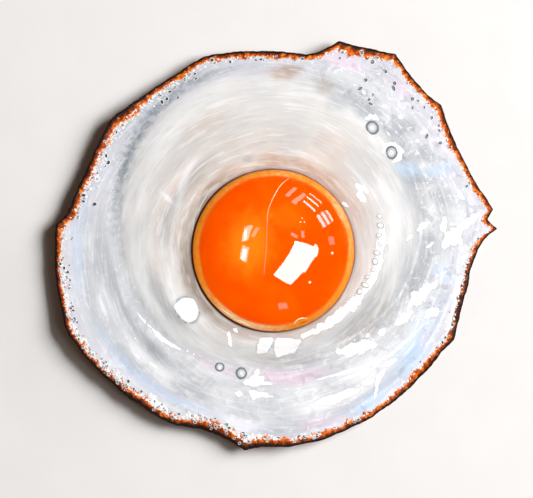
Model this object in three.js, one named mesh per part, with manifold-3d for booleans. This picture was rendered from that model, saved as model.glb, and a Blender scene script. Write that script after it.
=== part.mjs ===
// A sunny-side-up fried egg: one set white, run out in the pan to an uneven crisp edge, and one whole yolk.
// Millimetres, +Z up. The origin is on the surface the egg lies on, under the middle of its bounding box.
// The white is one closed body with a pocket that the yolk sits in. The yolk is a body of its own.
import * as THREE from "three";
import { mergeVertices } from "three/addons/utils/BufferGeometryUtils.js";
import Module from "manifold-3d";

// ---------- Driving dimensions ----------

const YOLK_DIAMETER = 42;
const YOLK_TOP = 16.5; // height of the dome's top over the surface the egg lies on
const YOLK_GIRTH_HEIGHT = 6; // height of the yolk's widest line
const YOLK_BASE = 1.5; // height of the yolk's underside
const YOLK_DOME_FULLNESS = 2.35; // 2 is an ellipse, more is fuller in the shoulder
const YOLK_BELLY_FULLNESS = 2.7;
const YOLK_SIDES = 64;
const YOLK_DOME_RINGS = 10;
const YOLK_BELLY_RINGS = 5;

const POCKET_GAP = 0.3; // clearance between the yolk and the white
const POCKET_RINGS = 4;
const LIP_HEIGHT = 5.6; // where the top of the white meets the yolk
const CREST_HEIGHT = 6; // the thick white's highest ring
const CREST_REACH = 26; // distance of that ring from the yolk's centre
const SHOULDER_HEIGHT = 4.9; // the thick white just before it falls to the thin white
const SHOULDER_WIDTH = 6.5;
const THIN_HEIGHT = 2.2; // the thin white round the outside
const THICK_REACH = 39; // how far the thick white runs out, on average
const THICK_DRIFT = 8.9; // how much further it runs towards the bearing below, and less away from it
const THICK_BEARING = 102;
const THICK_LOBES = 1; // how far three shallow lobes stand out of its edge
const THICK_LOBE_BEARING = -7;
const SWELL = 0.16; // slow unevenness of the whole top

const RIM_THICKNESS = 0.9; // the crisp edge
const RIM_TAPER = 2.4; // width over which the thin white thins to the edge
const RIM_CURL_WIDTH = 7; // width over which the edge lifts off the surface
const RIM_CURL = 1.1; // mean lift of the edge
const RIM_CURL_BEARING = 200; // where it lifts most
const RIM_STEP = 2.35; // spacing of the points along the edge
const CRINKLE = 0.07; // small waviness of the edge, in and out
const FROTH_WIDTH = 6; // the band along the edge that frothed up and browned
const FROTH_RELIEF = 0.2; // height of its crags

const TOP_RINGS = 25;
const RING_CROWDING = 0.12; // how much the rings of the top crowd towards the edge
const UNDERSIDE_RINGS = 3;

// The edge of the white, as corners seen from the yolk's centre: bearing in degrees from +X, reach in mm,
// and the bow of the edge that runs on to the next corner in mm, outwards if positive.
const RIM_CORNERS = [
  [0.2, 53.2, -0.2],
  [4.2, 56.5, 0],
  [5.6, 58.8, -0.2],
  [8.3, 56.5, -0.2],
  [10.6, 58.4, -1.1],
  [40.9, 57.9, -0.9],
  [58.1, 60.5, -0.2],
  [72.7, 57.3, -0.6],
  [80.6, 51.9, 1.2],
  [109.7, 53.9, 0.3],
  [138.8, 54.1, 0.3],
  [143.8, 54.3, 0],
  [170, 54.9, -0.1],
  [173.1, 57.1, 1.6],
  [202.3, 57.9, 1.8],
  [235.8, 52.8, 0.7],
  [247.8, 50.3, -0.5],
  [261.8, 52.7, -0.1],
  [266.6, 51.4, 1.2],
  [290, 50.8, 2.4],
  [329, 51.3, 0.2],
  [333.6, 52.5, 0.1],
  [353.8, 51.8, 0],
];

// Folds that the white set in as it ran out round the yolk. Each follows an arc: bearings where it starts
// and ends, distance from the yolk's centre at each end, height (a hollow if negative) and half width.
const FOLDS = [
  { from: -88, to: 36, near: 22.9, far: 29.5, height: 0.75, width: 1.5 },
  { from: -66, to: 0, near: 26, far: 28.6, height: -0.5, width: 1.3 },
  { from: -36, to: 40, near: 30.5, far: 33, height: 0.4, width: 2 },
  { from: 25, to: 90, near: 33, far: 41.5, height: 0.4, width: 2.4 },
  { from: 62, to: 100, near: 45, far: 47, height: -0.5, width: 2.2 },
  { from: 118, to: 180, near: 26.6, far: 25.6, height: 0.4, width: 1.3 },
  { from: 108, to: 186, near: 29, far: 29.6, height: -0.4, width: 1.5 },
  { from: 114, to: 196, near: 32, far: 33, height: 0.35, width: 1.5 },
  { from: 180, to: 226, near: 28.5, far: 28.3, height: 0.5, width: 2 },
  { from: 180, to: 224, near: 34, far: 31, height: -0.7, width: 1.4 },
  { from: 200, to: 238, near: 50.5, far: 47.5, height: -0.4, width: 1.8 },
  { from: 240, to: 400, near: 43.8, far: 50, height: -0.5, width: 2 },
];

// Banks that the thin white made against the thick. They follow its edge, and near and far are counted
// outwards from there.
const BANKS = [
  { from: 150, to: 430, near: 2.6, far: 3.4, height: 1.3, width: 2 },
  { from: 225, to: 400, near: 8, far: 5.5, height: 0.9, width: 5 },
  { from: 150, to: 245, near: 5.4, far: 6.4, height: -0.5, width: 1.5 },
  { from: 158, to: 240, near: 8.5, far: 11, height: 0.4, width: 1.7 },
];

// Blisters that rose in the white and set: bearing, distance from the yolk's centre, and radius.
const BLISTERS = [
  { bearing: 51.2, distance: 41, radius: 1.9 },
  { bearing: 39.7, distance: 39.9, radius: 1.8 },
  { bearing: 255.3, distance: 33, radius: 1.6 },
  { bearing: 245.2, distance: 33.4, radius: 1.3 },
];
const BLISTER_SIDES = 14;
const BLISTER_RISE = 0.65; // half the height of a blister, as a share of its radius
const BLISTER_SINK = 0.25; // how far its middle lies under the surface, as a share of its radius
// A run of small ones lies along the fold beside the yolk.
const BLISTER_RUN = { from: -25.5, to: 18, near: 24.7, far: 28.8, count: 10, radius: 0.7, sides: 8 };

const WHITE_FINISH = { color: 0xe7e3df, roughness: 0.35, metalness: 0 };
const YOLK_FINISH = { color: 0xfe6602, roughness: 0.12, metalness: 0 };

// ---------- Small tools ----------

const YOLK_RADIUS = YOLK_DIAMETER / 2;
const { degToRad, smoothstep, lerp, euclideanModulo } = THREE.MathUtils;

function atBearing(bearing, reach) {
  const angle = degToRad(bearing);
  return new THREE.Vector2(Math.cos(angle), Math.sin(angle)).multiplyScalar(reach);
}

// A point of a superellipse arc from its pole (share 0) to its girth (share 1).
function poleToGirth(share, halfWidth, halfHeight, fullness) {
  const angle = (share * Math.PI) / 2;
  return new THREE.Vector2(
    halfWidth * Math.sin(angle) ** (2 / fullness),
    halfHeight * Math.cos(angle) ** (2 / fullness),
  );
}

// The underside of the yolk, or of anything larger than it by grow, from its pole to its girth.
function bellyPoint(share, grow) {
  const depth = YOLK_GIRTH_HEIGHT - YOLK_BASE;
  const point = poleToGirth(share, YOLK_RADIUS + grow, depth + grow, YOLK_BELLY_FULLNESS);
  return new THREE.Vector2(point.x, YOLK_GIRTH_HEIGHT - point.y);
}

// A closed body from a start point, rings of equal length, each outside or under the last, and an end point.
function ringedBody(start, rings, end) {
  const sides = rings[0].length;
  const points = [start, ...rings.flat(), end];
  const at = (ring, side) => 1 + ring * sides + (side % sides);
  const triangles = [];
  for (let side = 0; side < sides; side++) {
    triangles.push(0, at(0, side), at(0, side + 1));
    for (let ring = 0; ring + 1 < rings.length; ring++) {
      const [a, b] = [at(ring, side), at(ring + 1, side)];
      const [c, d] = [at(ring + 1, side + 1), at(ring, side + 1)];
      triangles.push(a, b, c, a, c, d);
    }
    triangles.push(at(rings.length - 1, side), points.length - 1, at(rings.length - 1, side + 1));
  }
  return new THREE.BufferGeometry().setFromPoints(points).setIndex(triangles);
}

// ---------- The edge of the white ----------

// Points along the edge, in order of bearing: its corners, and even steps along the bowed runs between them.
function rimPoints() {
  const points = [];
  RIM_CORNERS.forEach(([bearing, reach, bow], i) => {
    const [nextBearing, nextReach] = RIM_CORNERS[(i + 1) % RIM_CORNERS.length];
    const start = atBearing(bearing, reach);
    const end = atBearing(nextBearing, nextReach);
    const along = end.clone().sub(start);
    const outward = new THREE.Vector2(along.y, -along.x).normalize();
    const control = start.clone().lerp(end, 0.5).addScaledVector(outward, 2 * bow);
    const run = new THREE.QuadraticBezierCurve(start, control, end);
    const steps = Math.max(1, Math.round(along.length() / RIM_STEP));
    points.push(...run.getPoints(steps).slice(0, -1));
  });
  return points.map((point) => point.multiplyScalar(1 + crinkle(point.angle()) / point.length()));
}

function crinkle(angle) {
  return CRINKLE * (Math.sin(29 * angle + 1.1) + 0.8 * Math.sin(43 * angle + 2.7));
}

// How far the edge lifts off the surface at an angle.
function rimLift(angle) {
  const slow = 0.35 * Math.cos(angle - degToRad(RIM_CURL_BEARING)) + 0.25 * Math.sin(5 * angle + 2.1);
  return RIM_CURL * (1 + slow + 0.2 * Math.sin(11 * angle));
}

// ---------- The surface of the white ----------

function thickReach(angle) {
  const drift = THICK_DRIFT * Math.cos(angle - degToRad(THICK_BEARING));
  const lobes = THICK_LOBES * Math.cos(3 * (angle - degToRad(THICK_LOBE_BEARING)));
  return THICK_REACH + drift + lobes;
}

// The white without its folds: up from the lip to the crest, slowly down to the shoulder, and over it
// to the thin white.
function poolHeight(distance, angle) {
  const reach = thickReach(angle);
  const rise = lerp(LIP_HEIGHT, CREST_HEIGHT, smoothstep(distance, YOLK_RADIUS, CREST_REACH));
  const slope = smoothstep(distance, CREST_REACH, reach - SHOULDER_WIDTH / 2);
  const thick = rise - (CREST_HEIGHT - SHOULDER_HEIGHT) * slope;
  return lerp(thick, THIN_HEIGHT, smoothstep(distance, reach - SHOULDER_WIDTH, reach + 1));
}

function foldHeight(distance, angle, fold) {
  const span = fold.to - fold.from;
  const share = euclideanModulo((angle * 180) / Math.PI - fold.from, 360) / span;
  if (share > 1) return 0;
  const middle = lerp(fold.near, fold.far, share);
  const along = Math.sin(Math.PI * share) ** 0.7;
  return fold.height * along * Math.exp(-(((distance - middle) / fold.width) ** 2));
}

function swellHeight(x, y) {
  return SWELL * (Math.sin(0.31 * x + 0.17 * y + 0.8) + 0.9 * Math.sin(0.23 * x - 0.34 * y + 2.3));
}

function topHeight(distance, angle) {
  const beyond = distance - thickReach(angle);
  const folds = FOLDS.reduce((sum, fold) => sum + foldHeight(distance, angle, fold), 0);
  const banks = BANKS.reduce((sum, bank) => sum + foldHeight(beyond, angle, bank), 0);
  const free = smoothstep(distance, YOLK_RADIUS, CREST_REACH);
  const [x, y] = [distance * Math.cos(angle), distance * Math.sin(angle)];
  return poolHeight(distance, angle) + free * (folds + banks + swellHeight(x, y));
}

// Crags of the froth, at a distance in from the edge.
function frothHeight(x, y, inset) {
  const share = 1 - smoothstep(inset, FROTH_WIDTH / 2, FROTH_WIDTH);
  const coarse = Math.sin(1.3 * x + 0.5 * y) * Math.sin(0.6 * x - 1.4 * y + 1.3);
  const fine = Math.sin(2.3 * x - 1.1 * y + 0.4) * Math.sin(1.2 * x + 2.1 * y);
  return FROTH_RELIEF * share * (0.6 * coarse + 0.4 * fine);
}

// Height of the underside: flat, and lifting over the last stretch before the edge.
function undersideHeight(distance, reach, angle) {
  const share = Math.max(0, 1 - (reach - distance) / RIM_CURL_WIDTH);
  return rimLift(angle) * share ** 2;
}

// ---------- The white ----------

function pocketRings(edge) {
  const rings = [];
  for (let i = 1; i <= POCKET_RINGS; i++) {
    const point = bellyPoint(i / (POCKET_RINGS + 1), POCKET_GAP);
    rings.push(edge.map(({ angle }) => polar(point.x, angle, point.y)));
  }
  const lip = YOLK_RADIUS + POCKET_GAP;
  rings.push(edge.map(({ angle }) => polar(lip, angle, LIP_HEIGHT)));
  return rings;
}

function polar(distance, angle, height) {
  return new THREE.Vector3(distance * Math.cos(angle), distance * Math.sin(angle), height);
}

// Rings of the top, closer together towards the edge, where the white is crisp.
function topRings(edge) {
  const rings = [];
  const lip = YOLK_RADIUS + POCKET_GAP;
  for (let i = 1; i <= TOP_RINGS; i++) {
    const share = i / TOP_RINGS;
    const out = share + RING_CROWDING * Math.sin(Math.PI * share) * share;
    rings.push(
      edge.map(({ angle, reach }) => {
        const distance = lerp(lip, reach, out);
        const taper = smoothstep(reach - distance, 0, RIM_TAPER);
        const under = undersideHeight(distance, reach, angle);
        const full = Math.max(topHeight(distance, angle), under + RIM_THICKNESS);
        const point = polar(distance, angle, lerp(under + RIM_THICKNESS, full, taper));
        point.z += frothHeight(point.x, point.y, reach - distance);
        return point;
      }),
    );
  }
  return rings;
}

function undersideRings(edge) {
  const rings = [];
  for (let i = 0; i <= UNDERSIDE_RINGS; i++) {
    const inset = (RIM_CURL_WIDTH * i) / UNDERSIDE_RINGS;
    rings.push(
      edge.map(({ angle, reach }) => {
        const distance = reach - inset;
        return polar(distance, angle, undersideHeight(distance, reach, angle));
      }),
    );
  }
  return rings;
}

function poolGeometry() {
  const edge = rimPoints().map((point) => ({ angle: point.angle(), reach: point.length() }));
  const rings = [...pocketRings(edge), ...topRings(edge), ...undersideRings(edge)];
  const floor = new THREE.Vector3(0, 0, bellyPoint(0, POCKET_GAP).y);
  return ringedBody(floor, rings, new THREE.Vector3(0, 0, 0));
}

function blisterGeometry({ bearing, distance, radius, sides = BLISTER_SIDES }) {
  const angle = degToRad(bearing);
  const height = topHeight(distance, angle) - BLISTER_SINK * radius;
  const middle = polar(distance, angle, height);
  const ball = new THREE.SphereGeometry(radius, sides, sides / 2).rotateX(Math.PI / 2);
  return ball.scale(1, 1, BLISTER_RISE).translate(middle.x, middle.y, middle.z);
}

function blisters() {
  const { from, to, near, far, count, radius, sides } = BLISTER_RUN;
  const run = Array.from({ length: count }, (_, i) => ({
    bearing: lerp(from, to, i / (count - 1)),
    distance: lerp(near, far, i / (count - 1)) + 0.3 * Math.sin(2.4 * i),
    radius: radius * (1 + 0.25 * Math.sin(1.7 * i + 0.5)),
    sides,
  }));
  return [...BLISTERS, ...run];
}

// ---------- Joining ----------

const wasm = await Module();
wasm.setup();

function toSolid(geometry) {
  geometry.deleteAttribute("normal");
  geometry.deleteAttribute("uv");
  const { attributes, index } = mergeVertices(geometry);
  const vertProperties = attributes.position.array;
  const triVerts = new Uint32Array(index.array);
  return new wasm.Manifold(new wasm.Mesh({ numProp: 3, vertProperties, triVerts }));
}

function toGeometry(solid) {
  const { vertProperties, triVerts } = solid.getMesh();
  const geometry = new THREE.BufferGeometry();
  geometry.setAttribute("position", new THREE.BufferAttribute(vertProperties, 3));
  geometry.setIndex(new THREE.BufferAttribute(triVerts, 1));
  geometry.computeVertexNormals();
  return geometry;
}

function whiteGeometry() {
  const joined = blisters().reduce(
    (solid, blister) => solid.add(toSolid(blisterGeometry(blister))),
    toSolid(poolGeometry()),
  );
  return toGeometry(joined);
}

// ---------- The yolk ----------

function yolkGeometry() {
  const belly = Array.from({ length: YOLK_BELLY_RINGS + 1 }, (_, i) => bellyPoint(i / YOLK_BELLY_RINGS, 0));
  const dome = Array.from({ length: YOLK_DOME_RINGS }, (_, i) => {
    const share = 1 - (i + 1) / YOLK_DOME_RINGS;
    const rise = YOLK_TOP - YOLK_GIRTH_HEIGHT;
    const point = poleToGirth(share, YOLK_RADIUS, rise, YOLK_DOME_FULLNESS);
    return new THREE.Vector2(point.x, YOLK_GIRTH_HEIGHT + point.y);
  });
  return new THREE.LatheGeometry([...belly, ...dome], YOLK_SIDES).rotateX(Math.PI / 2);
}

// ---------- The egg ----------

function namedMesh(name, geometry, finish) {
  const mesh = new THREE.Mesh(geometry, new THREE.MeshStandardMaterial(finish));
  mesh.name = name;
  return mesh;
}

const egg = new THREE.Group();
egg.add(namedMesh("egg_white", whiteGeometry(), WHITE_FINISH));
egg.add(namedMesh("egg_yolk", yolkGeometry(), YOLK_FINISH));

// The pieces are made round the yolk's centre, and moved so that the origin is under the egg's middle.
const middle = new THREE.Box3().setFromObject(egg).getCenter(new THREE.Vector3());
egg.children.forEach((mesh) => mesh.position.set(-middle.x, -middle.y, 0));

export default egg;
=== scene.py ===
"""Dresses a sunny-side-up fried egg: one set white, run out to a crisp browned edge, and one glossy yolk.

Sizes inside the functions are in millimetres. A place is a bearing, in degrees anticlockwise from +X, and a
distance from the yolk's centre. Meshes are made in metres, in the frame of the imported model.
"""

import math
from functools import lru_cache

import bpy
import numpy as np
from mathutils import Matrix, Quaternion, Vector
from mathutils.bvhtree import BVHTree


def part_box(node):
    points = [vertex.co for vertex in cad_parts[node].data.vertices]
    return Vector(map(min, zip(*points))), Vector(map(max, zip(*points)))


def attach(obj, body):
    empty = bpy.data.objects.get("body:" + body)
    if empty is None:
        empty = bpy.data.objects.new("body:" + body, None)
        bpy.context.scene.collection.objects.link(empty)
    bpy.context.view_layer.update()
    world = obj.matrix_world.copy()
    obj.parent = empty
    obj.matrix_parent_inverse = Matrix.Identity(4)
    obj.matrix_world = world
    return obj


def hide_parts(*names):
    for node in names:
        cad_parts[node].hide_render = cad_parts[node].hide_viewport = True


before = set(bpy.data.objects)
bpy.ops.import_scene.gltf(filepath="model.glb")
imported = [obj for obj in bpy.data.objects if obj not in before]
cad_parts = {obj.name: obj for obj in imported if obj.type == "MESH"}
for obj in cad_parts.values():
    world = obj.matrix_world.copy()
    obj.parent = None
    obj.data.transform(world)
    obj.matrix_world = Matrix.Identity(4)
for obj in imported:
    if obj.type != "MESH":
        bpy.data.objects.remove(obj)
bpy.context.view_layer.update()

bl_info = {
    "name": "Fried Egg",
    "version": (1, 0, 0),
    "blender": (4, 5, 0),
    "location": "View3D > Sidebar > Fried Egg",
    "description": "Makes a fried egg with its froth, blisters and crust round the packed solids",
    "category": "Add Mesh",
}

MM = 0.001
TURN = 2 * math.pi
BODY = "root"

# ---------- Sizes taken from the frame ----------

YOLK_LOW, YOLK_HIGH = (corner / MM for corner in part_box("egg_yolk"))
YOLK_MIDDLE = (YOLK_LOW + YOLK_HIGH) / 2
YOLK_RADIUS = (YOLK_HIGH.x - YOLK_LOW.x) / 2
YOLK_TOP = YOLK_HIGH.z
YOLK_BASE = YOLK_LOW.z
CENTRE = np.array([YOLK_MIDDLE.x, YOLK_MIDDLE.y, 0])

# ---------- Sizes that follow the solids ----------

YOLK_GIRTH_HEIGHT = 6
YOLK_DOME_FULLNESS = 2.35
YOLK_BELLY_FULLNESS = 2.7
POCKET_GAP = 0.3  # clearance of the solid white round the yolk
LIP_OVERLAP = 0.05  # how far the dressed white's lip reaches into the yolk
CURL_WIDTH = 7  # width over which the edge lifts off the surface

# Edge of the thick white: mean reach, drift towards a bearing, and three shallow lobes.
THICK_REACH = 39
THICK_DRIFT = 8.9
THICK_BEARING = 102
THICK_LOBES = 1
THICK_LOBE_BEARING = -7

# Blisters with a ring of thin film: bearing, distance and radius.
BLISTERS = [(51.2, 41, 1.9), (39.7, 39.9, 1.8), (255.3, 33, 1.6), (245.2, 33.4, 1.3)]
# The run of small ones beside the yolk.
RUN_FROM = -25.5
RUN_TO = 18
RUN_NEAR = 24.7
RUN_FAR = 28.8
RUN_COUNT = 10
RUN_RADIUS = 0.7
RUN_WANDER = 0.3  # how far they stand off their line
RUN_UNEVEN = 0.25  # how much their radius varies
RUN_DRESSED = 1.2  # how much larger the dressed blisters of the run are


# ---------- Small tools ----------


def linear(red, green, blue):
    """A colour given in sRGB steps of 0 to 255, as Blender's linear values."""
    steps = (red / 255, green / 255, blue / 255)
    return tuple(s / 12.92 if s <= 0.04045 else ((s + 0.055) / 1.055) ** 2.4 for s in steps)


def length(name, description, millimetres):
    """A length property. Its default is given in millimetres."""
    return bpy.props.FloatProperty(
        name=name, description=description, default=millimetres * MM, min=0, unit="LENGTH", precision=5
    )


def count(name, description, value):
    """A property for a number of pieces."""
    return bpy.props.IntProperty(name=name, description=description, default=value, min=0)


def strength(name, description, value):
    """A property for the radiance of a light."""
    return bpy.props.FloatProperty(name=name, description=description, default=value, min=0)


def colour(name, description, *srgb):
    """A colour property. Its default is given in sRGB steps of 0 to 255."""
    return bpy.props.FloatVectorProperty(
        name=name, description=description, default=linear(*srgb), min=0, max=1, size=3, subtype="COLOR"
    )


def to_xy(bearing, distance):
    """Places as x and y from the yolk's centre."""
    angle = np.radians(bearing)
    return distance * np.cos(angle), distance * np.sin(angle)


def even_bearings(sides):
    """Bearings of the points of a ring."""
    return np.arange(sides) * 360 / sides


def ease(x):
    """Smooth step from 0 to 1, held outside."""
    x = np.clip(x, 0, 1)
    return x * x * (3 - 2 * x)


def between(x, low, high):
    """Smooth step as x goes from low to high."""
    return ease((x - low) / (high - low))


def blend(a, b, amount):
    """From a to b."""
    return a + (b - a) * amount


def hashed(x, y, seed):
    """A number from 0 to 1 that looks random and is the same each time, for whole x and y."""
    mixed = (x * 73856093) ^ (y * 19349663) ^ (seed * 83492791)
    mixed = ((mixed ^ (mixed >> 13)) * 1274126177) & 0x7FFFFFFF
    mixed = ((mixed ^ (mixed >> 15)) * 668265263) & 0x7FFFFFFF
    return ((mixed >> 7) & 0xFFFF) / 65535


def noise(x, y, seed, wrap=None):
    """Gradient noise from about -0.7 to 0.7, one hill or hollow to a unit. x repeats every wrap units.

    The seed tells one pattern from another.
    """
    column, row = np.floor(x), np.floor(y)
    across, up = x - column, y - row

    def corner(right, above):
        cell = column + right if wrap is None else np.mod(column + right, wrap)
        angle = TURN * hashed(cell.astype(np.int64), (row + above).astype(np.int64), seed)
        return np.cos(angle) * (across - right) + np.sin(angle) * (up - above)

    low = blend(corner(0, 0), corner(1, 0), ease(across))
    high = blend(corner(0, 1), corner(1, 1), ease(across))
    return blend(low, high, ease(up))


def bubbles(x, y, size, seed):
    """Round bumps from 0 to 1, packed like froth, each about size across."""
    x, y = x / size, y / size
    column, row = np.floor(x).astype(np.int64), np.floor(y).astype(np.int64)
    nearest = np.full(np.shape(x), 9.0)
    for right in (-1, 0, 1):
        for above in (-1, 0, 1):
            at_x = column + right + hashed(column + right, row + above, seed)
            at_y = row + above + hashed(column + right, row + above, seed + 1)
            nearest = np.minimum(nearest, (x - at_x) ** 2 + (y - at_y) ** 2)
    return np.clip(1 - nearest / 0.45, 0, 1)


def around(bearing, table):
    """A value that changes smoothly with bearing, from a list of (bearing, value)."""
    bearings, values = zip(*table)
    return np.interp(np.mod(bearing, 360), bearings, values, period=360)


def arc(bearing, distance, start, end, near, far, width):
    """1 along an arc from bearing start to end and from distance near to far, fading over width."""
    along = np.mod(bearing - start, 360) / (end - start)
    middle = blend(near, far, along) + 0.45 * width * noise(bearing / 6, distance / 4, 91, wrap=60)
    fade = ease(3 * np.minimum(along, 1 - along))
    return np.where(along <= 1, fade, 0) * np.exp(-(np.abs((distance - middle) / width) ** 2.6))


def patch(bearing, distance, at, half, turn=0):
    """1 in an oval patch, fading to 0.

    half is half its length, along the ring, and half its width. turn tilts it, in degrees.
    """
    x, y = to_xy(bearing, distance)
    at_x, at_y = to_xy(*at)
    along = math.radians(at[0] + 90 + turn)
    u = ((x - at_x) * math.cos(along) + (y - at_y) * math.sin(along)) / half[0]
    v = ((y - at_y) * math.cos(along) - (x - at_x) * math.sin(along)) / half[1]
    ragged = 1 + 0.5 * noise(x / 2.6, y / 2.6, 92) + 0.3 * noise(x / 1.1, y / 1.1, 93)
    return np.exp(-((ragged * (u * u + v * v)) ** 1.8))


# ---------- Meshes ----------


def ring_faces(first, sides, next_first, next_sides):
    """Triangles from one closed ring of points to the next, which has as many, twice as many or half."""
    if sides == 2 * next_sides:
        return ring_faces(next_first, next_sides, first, sides)[:, ::-1]
    i = np.arange(sides)
    a, b = first + i, first + (i + 1) % sides
    if next_sides == 2 * sides:
        c, d, e = (next_first + (2 * i + step) % next_sides for step in (0, 1, 2))
        groups = [(a, c, d), (a, d, b), (b, d, e)]
    else:
        c, d = next_first + i, next_first + (i + 1) % next_sides
        groups = [(a, c, d), (a, d, b)]
    return np.concatenate([np.stack(group, axis=1) for group in groups])


def fan_faces(point, first, sides, outwards):
    """Triangles between a point and a ring round it."""
    i = np.arange(sides)
    fan = np.stack([np.full(sides, point), first + i, first + (i + 1) % sides], axis=1)
    return fan if outwards else fan[:, ::-1]


def skin(rings):
    """Points and triangles of a closed body: a start point, its rings, and an end point."""
    points = np.concatenate(rings)
    firsts = np.cumsum([0] + [len(ring) for ring in rings])
    faces = [fan_faces(0, 1, len(rings[1]), True)]
    for i in range(1, len(rings) - 2):
        faces.append(ring_faces(firsts[i], len(rings[i]), firsts[i + 1], len(rings[i + 1])))
    faces.append(fan_faces(len(points) - 1, firsts[-3], len(rings[-2]), False))
    return points, np.concatenate(faces)


def spun(profile, sides):
    """A closed body turned from a profile of (distance, height), from its underside's pole to its top's."""
    bearing = even_bearings(sides)
    rings = [np.array([[0, 0, profile[0][1]]])]
    for distance, height in profile[1:-1]:
        x, y = to_xy(bearing, distance)
        rings.append(np.stack([x, y, np.full(sides, height)], axis=1))
    rings.append(np.array([[0, 0, profile[-1][1]]]))
    points, faces = skin(rings)
    return points, faces[:, ::-1]


def add_piece(name, points, faces, material, layers=(), node=None):
    """Makes a smooth piece from points round the yolk's centre, with its layers of values at the points."""
    if name in bpy.data.objects:
        raise RuntimeError(f"{name} is already there")
    mesh = bpy.data.meshes.new(name)
    mesh.vertices.add(len(points))
    mesh.vertices.foreach_set("co", ((points + CENTRE) * MM).astype(np.float32).ravel())
    mesh.loops.add(faces.size)
    mesh.loops.foreach_set("vertex_index", faces.astype(np.int32).ravel())
    mesh.polygons.add(len(faces))
    mesh.polygons.foreach_set("loop_start", np.arange(0, faces.size, 3, dtype=np.int32))
    mesh.polygons.foreach_set("use_smooth", np.ones(len(faces), dtype=bool))
    mesh.update(calc_edges=True)
    for layer, values in dict(layers).items():
        add_layer(mesh, layer, values)
    mesh.materials.append(material)
    piece = bpy.data.objects.new(name, mesh)
    bpy.context.scene.collection.objects.link(piece)
    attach(piece, BODY)
    if node:
        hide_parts(node)
    return piece


def add_layer(mesh, name, values):
    """Stores one number, or a colour of three, at each point."""
    if values.ndim == 1:
        mesh.attributes.new(name, "FLOAT", "POINT").data.foreach_set("value", values.astype(np.float32))
        return
    full = np.concatenate([values, np.ones((len(values), 1))], axis=1)
    layer = mesh.attributes.new(name, "FLOAT_COLOR", "POINT")
    layer.data.foreach_set("color", full.astype(np.float32).ravel())


def scattered(shape, places, sizes, turns, leans=None, stretch=1.0):
    """Copies of one small shape: stretched, turned about Z, sized, sheared to lie on a slope, and moved."""
    points, faces = shape
    cos, sin = np.cos(turns), np.sin(turns)
    stretch = np.broadcast_to(stretch, len(places))[:, None] ** 0.5
    long, short = points[:, 0] * stretch, points[:, 1] / stretch
    x = long * cos[:, None] - short * sin[:, None]
    y = long * sin[:, None] + short * cos[:, None]
    made = np.stack([x, y, np.broadcast_to(points[:, 2], x.shape)], axis=2)
    made = made * sizes[:, None, None]
    if leans is not None:
        slope = -leans[:, None, :2] / leans[:, None, 2:]
        made[:, :, 2] += (made[:, :, :2] * slope).sum(axis=2)
    made = made + places[:, None, :]
    steps = np.arange(len(places))[:, None, None] * len(points)
    return made.reshape(-1, 3), (faces[None] + steps).reshape(-1, 3)


# ---------- The form of the white ----------


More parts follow.
